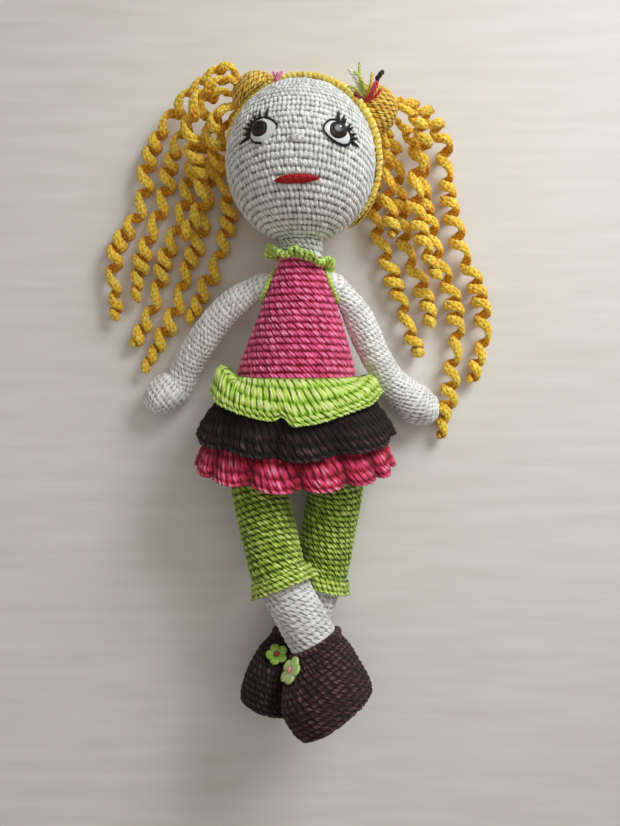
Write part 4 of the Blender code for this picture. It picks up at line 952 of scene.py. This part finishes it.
def shoulder(sign):
    centre, wide, _ = torso_section(torso_share(NECK_TOP_Y - SHOULDER_DROP))
    normal = vec(sign * math.cos(SHOULDER_TILT), math.sin(SHOULDER_TILT), 0)
    return centre + vec(sign * wide, 0, -3.0) - normal * 1.6, normal


def make_torso(looks):
    rings = []
    for share, *_ in TORSO_SHARES:
        centre, wide, deep = torso_section(share)
        rings.append(flat_ring(centre, vec(0, 1, 0), wide, deep, 480))
    rings = spline(rings, 12)
    for sign in (-1, 1):
        place, normal = shoulder(sign)
        rings = press(rings, place, -normal)
    made = knit("torso_crochet", rings[::-1], looks["pink"], "torso", stitch=4.1, row=4.0, seed=11,
                tips=(True, True), slant=0.85, tall=0.47, cleft=(0.65, 0.7), dip=0.95, hole=0.5, step=0.2)
    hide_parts("torso_shell", "torso_stuffing")


def make_neck(looks):
    """The cream rounds between the collar and the head."""
    turn = turns(160)
    low = NECK_TOP_Y - 7.5 - 2.6 * np.cos(turn)
    grid = np.zeros((14, len(turn), 3))
    for row, part in enumerate(np.linspace(0, 1, 14)):
        for column, angle in enumerate(turn):
            centre, wide, deep = torso_section(torso_share(NECK_TOP_Y + (low[column] - NECK_TOP_Y) * part))
            grid[row, column] = centre + vec((wide + 0.8) * math.cos(angle), 0, (deep + 0.8) * math.sin(angle))
    made = knit("neck_crochet", grid, looks["cream"], "torso", stitch=3.2, row=3.0, relief=0.8, fine=6, seed=12)


def make_collar(looks):
    """A ruffled band round the neck: loops of thick yarn, lower on the doll's left."""
    middle = NECK_TOP_Y - COLLAR_DROP
    profile = turns(24)
    sections = []
    for angle in turns(300):
        y = middle - COLLAR_RADIUS * math.cos(angle) * math.tan(COLLAR_SLOPE)
        centre, wide, deep = torso_section(torso_share(y - 1.5))
        out = vec(math.cos(angle), 0, math.sin(angle))
        wave = 2.3 * math.sin(angle * 5) + 1.1 * math.sin(angle * 11 + 1)
        inner = vec(centre[0] + (wide + GAP) * out[0], y, centre[2] + (deep + GAP) * out[2])
        reach = COLLAR_RADIUS - wide
        spot = inner + out * reach * 0.5 + vec(0, 1.0 + wave * 0.5, 0)
        lean = unit(out + vec(0, 0.35 + wave * 0.22, 0))
        thick = unit(np.cross(lean, np.cross(out, vec(0, 1, 0))))
        sections.append(spot + lean * (np.cos(profile) * (reach * 0.5 + 0.6))[:, None]
                        + thick * (np.sin(profile) * COLLAR_THICK)[:, None])
    grid = np.array(sections + sections[:1])
    made = knit("collar_crochet", grid, looks["green"], "torso", stitch=2.6, row=2.6, relief=1.1, fine=6, seed=13,
                strands=1, floor=TABLE_GAP)
    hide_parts("collar")


def make_trim(side, sign, looks):
    """A chain round the armhole."""
    place, normal = shoulder(sign)
    centre = place + normal * (GAP + 1.1)
    level = np.cross(UP, normal)
    turn = np.linspace(0, TAU, 200)
    radius = 0.8 * ARM_RADIUS + GAP + 2.2
    loop = centre + level * (np.cos(turn) * radius)[:, None] + UP * (np.sin(turn) * radius)[:, None]
    out = unit(loop - centre)
    across = np.cross(unit(np.gradient(loop, axis=0)), out)
    grid = rings_round(loop, out, across, turns(20), 1.15, 1.15)
    made = knit(side + "_trim_crochet", grid, looks["green"], "torso", row=2.4, relief=0.6, seed=15, **CHAIN)
    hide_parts(side + "_armhole_trim")


# Skirt

TIERS = (
    # name, top, length, side rise, half width, half depth, layer, flutes, flute depth, hem wave, seed, look, rows
    ("skirt_tier_green", 25.0, 26.5, 15.0, 51.0, 35.3, 0, 5, 2.4, 0.8, 21, "green", (6.0, 8.0, 7.0, 3.4, 2.8)),
    # The brown tier takes the darker copy of the brown, as painted shadow under the green tier
    ("skirt_tier_brown", 17.0, 36.5, 10.0, 59.0, 33.0, 1, 9, 4.2, 2.2, 22, "brown_deep",
     (6.0, 8.0, 8.0, 7.0, 5.0, 2.8)),
    ("skirt_tier_pink", 9.0, 43.5, 8.0, 58.5, 30.2, 2, 14, 6.0, 4.4, 23, "pink_skirt",
     (6.0, 8.0, 8.0, 8.0, 7.0, 5.0, 2.8)),
)


def flute_crowns(turn, flutes, seed):
    """1 on the flutes of a tier and 0 between them, unevenly spaced."""
    wander = 0.5 * np.sin(turn * 2 + seed) + 0.35 * np.sin(turn * 3 - seed * 1.7)
    return np.abs(np.cos((flutes * turn + 2.2 * wander) / 2))


def tier_wall(facts, share, turn, shrink):
    """The wall of a tier, shrink inside its outer face."""
    _, top, length, side_rise, half_width, half_depth, layer, flutes, flute, hem_wave, seed, *_ = facts
    y_top = TORSO_BOTTOM_Y + top
    start, wide, deep = torso_section(torso_share(y_top))
    seat = GAP + 2.0
    across = wide + seat + (half_width - wide - seat) * share ** (0.9 if layer == 0 else 0.6) - shrink
    high = deep + seat + (half_depth - deep - seat) * (1 - (1 - share) ** 3) - shrink
    wave = flute_crowns(turn, flutes, seed) ** (1.2 if layer < 2 else 0.9)
    out = flute * (share ** (1.6 if layer < 2 else 3.5) * wave ** 0.8 - 0.07 * share ** 4)
    side = np.abs(np.cos(turn))
    front = np.clip(np.sin(turn), 0, 1)
    corner = ease((side - 0.8) / 0.2) * share ** 3
    x = start[0] + (across + out * (1 - 0.6 * side) - (2.0 if layer == 0 else 3.5) * corner) * np.cos(turn)
    z = start[2] + (high + out) * np.sin(turn)
    hem = (side_rise * side ** 1.5 - hem_wave * wave ** 0.55 * front) * share + 3.0 * corner
    y = y_top - length * share + hem - 1.5 * front * (1 - share)
    if layer == 0:
        # The green tier's ends curl up at the sides, and its hem is notched left of the middle
        for middle, amount, width in ((math.pi * 0.91, 12.0, 0.38), (0.3, 6.5, 0.36)):
            curl = amount * bell(turn - middle, width)
            y = y + curl * bell(share - 0.5, 0.33)
            z = z + 0.5 * curl * bell(share - 0.65, 0.35)
        y = y + 4.0 * bell(turn - 1.71, 0.07) * share ** 3
        z = z - 2.0 * bell(turn - 1.74, 0.09) * share ** 2
    return np.stack([x, y, np.maximum(z, layer * TIER_LIFT + shrink)], axis=-1)


def make_tier(facts, looks):
    name, top, drop, *_, layer, flutes, _, _, seed, look, heights = facts
    turn = turns(TIER_COLUMNS)
    crown = flute_crowns(turn, flutes, seed)

    def shade(share):
        """Painted shade: darker in the valleys between the flutes, and painted shadow under the tier above."""
        down = np.minimum(share, 1 - share)[:, None] * 2
        valley_shade, under = ((0.0, 0.0), (0.4, 0.3), (0.65, 0.2))[layer]
        return 1 - valley_shade * (1 - crown) ** 1.5 - under * ease((0.8 - down) / 0.45)

    down = np.linspace(0, 1, 60)[:, None]
    outer = tier_wall(facts, down, turn, 0.0)
    inner = tier_wall(facts, down[::-1], turn, TIER_WALL)
    made = knit(name + "_cloth", np.concatenate([outer, inner]), looks[look], None, stitch=3.6, relief=1.35,
                fine=9, slant=-0.8, tall=0.54, cleft=(0.38, 0.55), dip=0.8, step=0.3, seed=seed, shade=shade,
                floor=0.1, heights=heights + heights[::-1])
    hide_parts(name)
    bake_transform(made)


# Arms

RIGHT_ARM_SHARES = (
    (-0.097, -0.012, -0.03, 0.8), (-0.166, -0.052, -0.05, 0.9), (-0.254, -0.12, -0.08, 0.955),
    (-0.334, -0.202, -0.12, 0.965), (-0.398, -0.286, -0.16, 1.0), (-0.454, -0.361, -0.195, 1.0),
    (-0.504, -0.448, -0.23, 0.965), (-0.544, -0.527, -0.26, 1.07), (-0.6, -0.574, -0.255, 1.26),
    (-0.663, -0.618, -0.258, 1.17), (-0.704, -0.649, -0.262, 0.86), (-0.735, -0.672, -0.262, 0.0),
)
LEFT_ARM_SHARES = (
    (0.055, -0.01, -0.02, 0.75), (0.101, -0.063, -0.03, 0.8), (0.152, -0.134, -0.05, 0.92),
    (0.191, -0.212, -0.07, 1.0), (0.271, -0.375, -0.12, 0.955), (0.35, -0.5, -0.19, 0.98),
    (0.424, -0.58, -0.24, 1.15), (0.514, -0.65, -0.247, 1.3), (0.577, -0.674, -0.252, 1.2),
    (0.622, -0.677, -0.255, 0.86), (0.654, -0.677, -0.255, 0.0),
)


def make_arm(side, sign, shares, looks):
    place, normal = shoulder(sign)
    clear = 2 * GAP + 2.2
    rows = np.array(shares)
    centres = np.vstack([place + normal * GAP, place + normal * clear, place + rows[:, :3] * ARM_LENGTH])
    sizes = np.concatenate([[0.8, 0.8], rows[:, 3]]) * ARM_RADIUS
    dense, radii = spline(centres, 14), np.maximum(spline(sizes[:, None], 14)[:, 0], 0.02)
    last = len(dense) - 15
    radii[last:] = radii[last] * np.sqrt(np.clip(1 - np.linspace(0, 1, 15) ** 2, 0.0004, 1))
    grid = tube_rings(dense, radii, 176)
    grid[14:] = press(grid[14:], place + normal * (clear - 0.9), normal)
    grid = press(grid, vec(0, 0, 0.55), UP)
    made = knit(side + "_arm_crochet", grid, looks["cream_limb"], side + "_arm", stitch=2.65, row=2.95, relief=1.1,
                strands=1, slant=-0.5, cleft=(0.2, 0.4), dip=0.5, hole=0.75, seed=31 if sign < 0 else 32,
                tips=(True, True), floor=TABLE_GAP)
    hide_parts(side + "_arm", side + "_arm_stuffing")


# Legs

RIGHT_LEG_SHARES = (
    (-0.0085, -0.2, 0.047, 1.01), (0.04, -0.412, 0.1, 1.0), (0.085, -0.59, 0.146, 0.99),
    (0.129, -0.7, 0.16, 0.99),
)
LEFT_LEG_SHARES = (
    (0.016, -0.205, -0.057, 1.03), (-0.016, -0.425, -0.099, 1.0), (-0.047, -0.61, -0.12, 1.0),
    (-0.082, -0.742, -0.118, 1.0),
)
RIGHT_ANKLE_SHARES = ((0.2, -0.835, 0.165), (0.279, -0.976, 0.165))
LEFT_ANKLE_SHARES = ((-0.127, -0.88, -0.113), (-0.172, -1.01, -0.11))
SHOE_SHARES = (
    (0.0, 0.51, 0.81, 0.0), (0.12, 0.62, 0.87, 0.24), (0.3, 0.85, 0.97, 0.65), (0.55, 1.0, 1.0, 1.0),
    (0.8, 1.0, 1.0, 1.0), (0.93, 0.95, 0.95, 1.0), (1.0, 0.82, 0.82, 1.0),
)
LEGS = (
    ("right", -1, RIGHT_LEG_SHARES, RIGHT_ANKLE_SHARES, math.radians(46)),
    ("left", 1, LEFT_LEG_SHARES, LEFT_ANKLE_SHARES, math.radians(19)),
)


def hip(sign):
    return vec(HIP_MIDDLE + sign * HIP_HALF, TORSO_BOTTOM_Y - GAP - THIGH_RADIUS, HIP_HEIGHT)


def leg_centres(leg):
    return np.vstack([hip(leg[1]), hip(leg[1]) + np.array(leg[2])[:, :3] * LEG_LENGTH])


def cuff_way(leg):
    shares = np.array(leg[2])[:, :3]
    return unit(shares[-1] - shares[-2])


def ankle_centres(leg):
    start = leg_centres(leg)[-1] + cuff_way(leg) * GAP
    return np.vstack([start, hip(leg[1]) + np.array(leg[3]) * LEG_LENGTH])


def keep_apart(grid, middles, sign):
    """Flattens a leg's piece where it would reach into the other leg's."""
    right, left = middles
    normal = unit(right - left)
    return press(grid, (right + left) / 2 - normal * sign * 0.7, normal * -sign)


def make_legging(leg, looks):
    side, sign = leg[:2]
    centres = leg_centres(leg)
    sizes = np.concatenate([[THIGH_RADIUS], np.array(leg[2])[:, 3] * LEG_RADIUS])
    angles = np.radians(np.linspace(88, 6, 22))
    cap = centres[0] + vec(0, 1, 0) * (THIGH_RADIUS * np.sin(angles))[:, None]
    dense = np.vstack([cap, spline(centres, 20)])
    radii = np.concatenate([THIGH_RADIUS * np.cos(angles), spline(sizes[:, None], 20)[:, 0]])
    grid = tube_rings(dense, radii, 300)
    made = knit(side + "_legging_crochet", grid, looks["leg"], side + "_leg", stitch=4.0, row=3.35,
                seed=51 if sign < 0 else 52, tips=(True, True), floor=TABLE_GAP)
    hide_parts(side + "_legging", side + "_leg_stuffing")


def make_cuff(leg, looks):
    """The frilled hem: a flared band with a wavy edge, turned back on itself."""
    side, sign = leg[:2]
    end, way = leg_centres(leg)[-1], cuff_way(leg)
    radius = np.array(leg[2])[-1, 3] * LEG_RADIUS
    turn = turns(300)
    rings = []
    for wall, shares in ((CUFF_WALL, np.linspace(1, 0, 12)), (0.0, np.linspace(0, 1, 12))):
        for share in shares:
            wave = CUFF_WAVE * (1 - share) ** 1.5 * np.cos(turn * 11 + 0.6 * np.sin(turn * 2))
            size = radius + GAP + CUFF_FLARE * (1 - share) + wall + wave
            rings.append(flat_ring(end - way * CUFF_LENGTH * share, way, size, size, len(turn)))
    grid = keep_apart(np.array(rings), [ankle_centres(each)[0] for each in LEGS], sign)
    grid = press(grid, vec(0, 0, 0.5), UP)
    made = knit(side + "_cuff_frill", grid, looks["cuff"], side + "_leg", stitch=3.2, row=2.9, relief=1.1,
                seed=55, floor=TABLE_GAP)
    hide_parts(side + "_cuff")


def make_ankle(leg, looks):
    side = leg[0]
    centres = ankle_centres(leg)
    dense = spline(np.vstack([centres[0] - cuff_way(leg) * 2.0, centres]), 16)
    grid = tube_rings(dense, ANKLE_RADIUS, 200)
    made = knit(side + "_ankle_crochet", grid, looks["cream_limb"], side + "_leg", stitch=3.7, row=3.1, relief=1.1,
                cleft=(0.3, 0.45), dip=0.6, seed=57, tips=(True, True))
    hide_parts(side + "_ankle")


def shoe_frame(leg):
    """The middle of a shoe's opening, the way down from it and the way to the toe."""
    centres = ankle_centres(leg)
    down = unit(centres[-1] - centres[-2])
    level = unit(np.cross(UP, down))
    up = np.cross(down, level)
    toe = up * math.cos(leg[4]) - level * math.sin(leg[4])
    return centres[-1] + down * GAP, down, toe


def shoe_middle(leg):
    top, down, toe = shoe_frame(leg)
    return top + down * SHOE_HEIGHT / 2 + toe * SHOE_SHIFT


def make_shoe(leg, looks):
    side, sign = leg[:2]
    # The left shoe takes a darker copy of the brown, as painted shadow from the other leg
    look = looks["brown" if sign < 0 else "brown_deep"]
    top, down, toe = shoe_frame(leg)
    roll = math.pi / 2 + leg[4]
    rings = []
    for place, long, wide, shift in SHOE_SHARES:
        centre = top + down * place * SHOE_HEIGHT + toe * shift * SHOE_SHIFT
        rings.append(flat_ring(centre, down, long * SHOE_LENGTH, wide * SHOE_WIDTH, 300, roll))
    middle, sole = top + down * SHOE_HEIGHT + toe * SHOE_SHIFT, rings[-1]
    for share in (0.6, 0.3, 0.04):
        rings.append(middle + (sole - middle) * share + down * 0.6 * (1 - share))
    grid = keep_apart(spline(rings, 12), [shoe_middle(each) for each in LEGS], sign)
    grid = press(grid, vec(0, 0, 0.55), UP)
    made = knit(side + "_shoe_crochet", grid, look, side + "_leg", stitch=4.0, row=3.3, seed=61, tips=(True, True),
                floor=TABLE_GAP)
    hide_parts(side + "_shoe", side + "_shoe_stuffing")
    # A thick chain round the opening
    long, wide = SHOE_SHARES[0][1] * SHOE_LENGTH + 0.4, SHOE_SHARES[0][2] * SHOE_WIDTH + 0.4
    loop = flat_ring(top + down * 1.4, down, long, wide, 220, roll)
    middle = loop.mean(axis=0)
    loop = np.vstack([loop, loop[:1]])
    rim = rings_round(loop, unit(loop - middle), down, turns(20), 1.3, 1.7)
    band = knit(side + "_shoe_rim", rim, look, side + "_leg", row=2.8, relief=0.7, seed=63, floor=TABLE_GAP,
                **CHAIN)


# Shares of the shoe: drop, shift to the toe and reach, and then the lean
FLOWER_PLACES = {"right": (0.12, 0.3, 0.7, 1.3), "left": (0.2, 0.6, 0.9, 0.6)}
PETAL_REACH = {"right": 7.9, "left": 6.2}


def make_flower(leg, looks):
    """A moulded flower button with domed petals, and the knot that holds it."""
    side = leg[0]
    top, down, toe = shoe_frame(leg)
    drop, shift, reach, lean = FLOWER_PLACES[side]
    tilt = unit(toe - down * lean)
    centre = top + down * SHOE_HEIGHT * drop + toe * (SHOE_SHIFT * shift + SHOE_LENGTH * reach)
    first = unit(np.cross(tilt, vec(0.3, 0.1, 1)))
    second = np.cross(tilt, first)
    angle = turns(100)
    fold = np.abs(np.cos(2.5 * angle))
    petal = PETAL_REACH[side] * (0.72 + 0.28 * fold ** 0.7)
    level = first * (petal * np.cos(angle))[:, None] + second * (petal * np.sin(angle))[:, None]
    share = np.linspace(0.02, 1, 24)
    rows = []
    for part in share:
        height = 0.8 + 1.0 * math.sqrt(max(1 - (2 * part - 1.05) ** 2 / 1.1, 0)) - 0.5 * (1 - part)
        rows.append(centre + tilt * height * 1.1 + level * part)
    rows.append(rows[-1] - tilt * 1.2)
    rows.append(centre - tilt * 0.8 + (rows[-1] - centre - tilt * 0.8) * 0.5)
    crease = 0.6 * bell(fold, 0.25) * np.linspace(0.3, 1, len(rows))[:, None]
    grid = np.array(rows) - tilt * crease[..., None]
    depth = np.concatenate([share, [1, 1]])[:, None]
    made = grid_piece(side + "_flower_petals", grid, looks["petal_" + side], side + "_leg", tips=(True, True),
                      fields=plain_fields(grid, depth, (0.1, 0.1, 0)), towards=tilt)
    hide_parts(side + "_flower_button")
    ball = ball_rings(centre + tilt * 2.0, (tilt, first, second), np.linspace(0.05, math.pi - 0.05, 14), turns(25),
                      1.2, 1.7)
    knot = grid_piece(side + "_flower_eye", ball, looks["knot_" + side], side + "_leg", tips=(True, True),
                      fields=plain_fields(ball, 0.7, (1.2, 1.2, 0)))
    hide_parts(side + "_flower_knot")


# Yarns: the strands' tops, the grooves between them and the deepest gaps in painted shade, and the crests as a
# painted highlight, as the screen writes them
YARNS = {
    "cream": ("cream_yarn", (240, 243, 242), (196, 195, 188), (100, 94, 84), (254, 254, 254)),
    "cream_limb": ("limb_yarn", (250, 251, 250), (220, 218, 212), (122, 116, 106), (255, 255, 255)),
    "cream_thread": ("cream_thread", (238, 240, 238), (212, 209, 202), (160, 154, 144)),
    "yellow": ("yellow_yarn", (255, 218, 72), (255, 192, 44), (176, 92, 6), (255, 232, 108)),
    "ochre": ("ochre_yarn", (252, 212, 82), (208, 148, 30), (92, 50, 6), (255, 238, 150)),
    "edge": ("edge_yarn", (255, 234, 112), (255, 212, 72), (216, 150, 30), (255, 246, 160)),
    "pink": ("pink_yarn", (255, 112, 164), (216, 46, 102), (112, 2, 36), (255, 178, 208)),
    "pink_skirt": ("pink_skirt_yarn", (240, 74, 122), (176, 18, 58), (88, 2, 20), (255, 178, 208)),
    "green": ("green_yarn", (218, 244, 122), (160, 206, 48), (48, 82, 6), (246, 255, 190)),
    "leg": ("leg_green_yarn", (176, 208, 68), (102, 134, 18), (12, 22, 2), (238, 255, 160)),
    "cuff": ("cuff_green_yarn", (204, 228, 104), (140, 170, 36), (38, 56, 4), (244, 254, 170)),
    "brown": ("brown_yarn", (66, 38, 36), (38, 17, 18), (8, 2, 3), (118, 84, 77)),
    # A darker copy of the brown, as painted shade, for the left shoe and the brown tier
    "brown_deep": ("shaded_brown_yarn", (48, 29, 29), (26, 13, 14), (6, 2, 2), (96, 72, 70)),
    "thread": ("black_thread_look", (26, 26, 30), (12, 12, 14), (4, 4, 6), (52, 52, 58)),
    "red": ("red_satin_look", (152, 3, 10), (116, 1, 6), (70, 0, 2), (186, 14, 22)),
    "knot_right": ("pale_knot", (232, 158, 160), (206, 112, 118)),
    "knot_left": ("dark_knot", (150, 58, 46), (96, 30, 26)),
    "yarn_pink": ("tie_pink", (244, 158, 196), (222, 112, 160)),
    "yarn_white": ("tie_white", (246, 248, 236), (222, 226, 206)),
    "yarn_lime": ("tie_lime", (214, 232, 124), (176, 200, 74)),
    "yarn_gold": ("tie_gold", (246, 212, 72), (214, 166, 30)),
    "yarn_red": ("tie_red", (226, 56, 60), (178, 26, 36)),
    "yarn_wine": ("tie_wine", (150, 50, 50), (100, 26, 30)),
    "yarn_dark": ("tie_dark", (64, 38, 36), (38, 20, 20)),
}
YARN_SETTINGS = {
    "brown": dict(sheen=0.08), "brown_deep": dict(sheen=0.05), "thread": dict(sheen=0.05),
    "red": dict(sheen=0.0, rough=0.45),
}
GLOSSES = {
    "eye_white": ("eye_white_look", (218, 222, 222), (234, 237, 237), {}),
    "iris": ("iris_look", (18, 9, 6), (70, 38, 25), dict(rough=0.3, scale=900.0, coat=0.1)),
    "pupil": ("pupil_look", (10, 9, 9), (20, 17, 17), dict(rough=0.3, coat=0.1)),
    # The glints' colour is a painted reflection
    "glint": ("glint_look", (206, 214, 222), (226, 232, 238), {}),
    "petal_right": ("petal_look", (176, 208, 116), (200, 226, 146), dict(rough=0.3)),
    "petal_left": ("shaded_petal_look", (122, 158, 52), (150, 184, 80), dict(rough=0.3)),
}


def make_looks():
    looks = {key: yarn(name, *(rgb(*colour) for colour in colours), **YARN_SETTINGS.get(key, {}))
             for key, (name, *colours) in YARNS.items()}
    looks.update({key: gloss(name, rgb(*colour), rgb(*other), **settings)
                  for key, (name, colour, other, settings) in GLOSSES.items()})
    return looks


def main():
    make_camera()
    looks = make_looks()
    make_locks(looks)
    make_light()
    make_floor()
    make_head(looks)
    make_cap(looks)
    for side in ("right", "left"):
        make_bun(side, looks)
        make_eye(side, looks)
    make_ties(looks)
    make_nose(looks)
    make_mouth(looks)
    make_torso(looks)
    make_neck(looks)
    make_collar(looks)
    for facts in TIERS:
        make_tier(facts, looks)
    for side, sign, shares in (("right", -1, RIGHT_ARM_SHARES), ("left", 1, LEFT_ARM_SHARES)):
        make_trim(side, sign, looks)
        make_arm(side, sign, shares, looks)
    for leg in LEGS:
        make_legging(leg, looks)
        make_cuff(leg, looks)
        make_ankle(leg, looks)
        make_shoe(leg, looks)
        make_flower(leg, looks)


main()
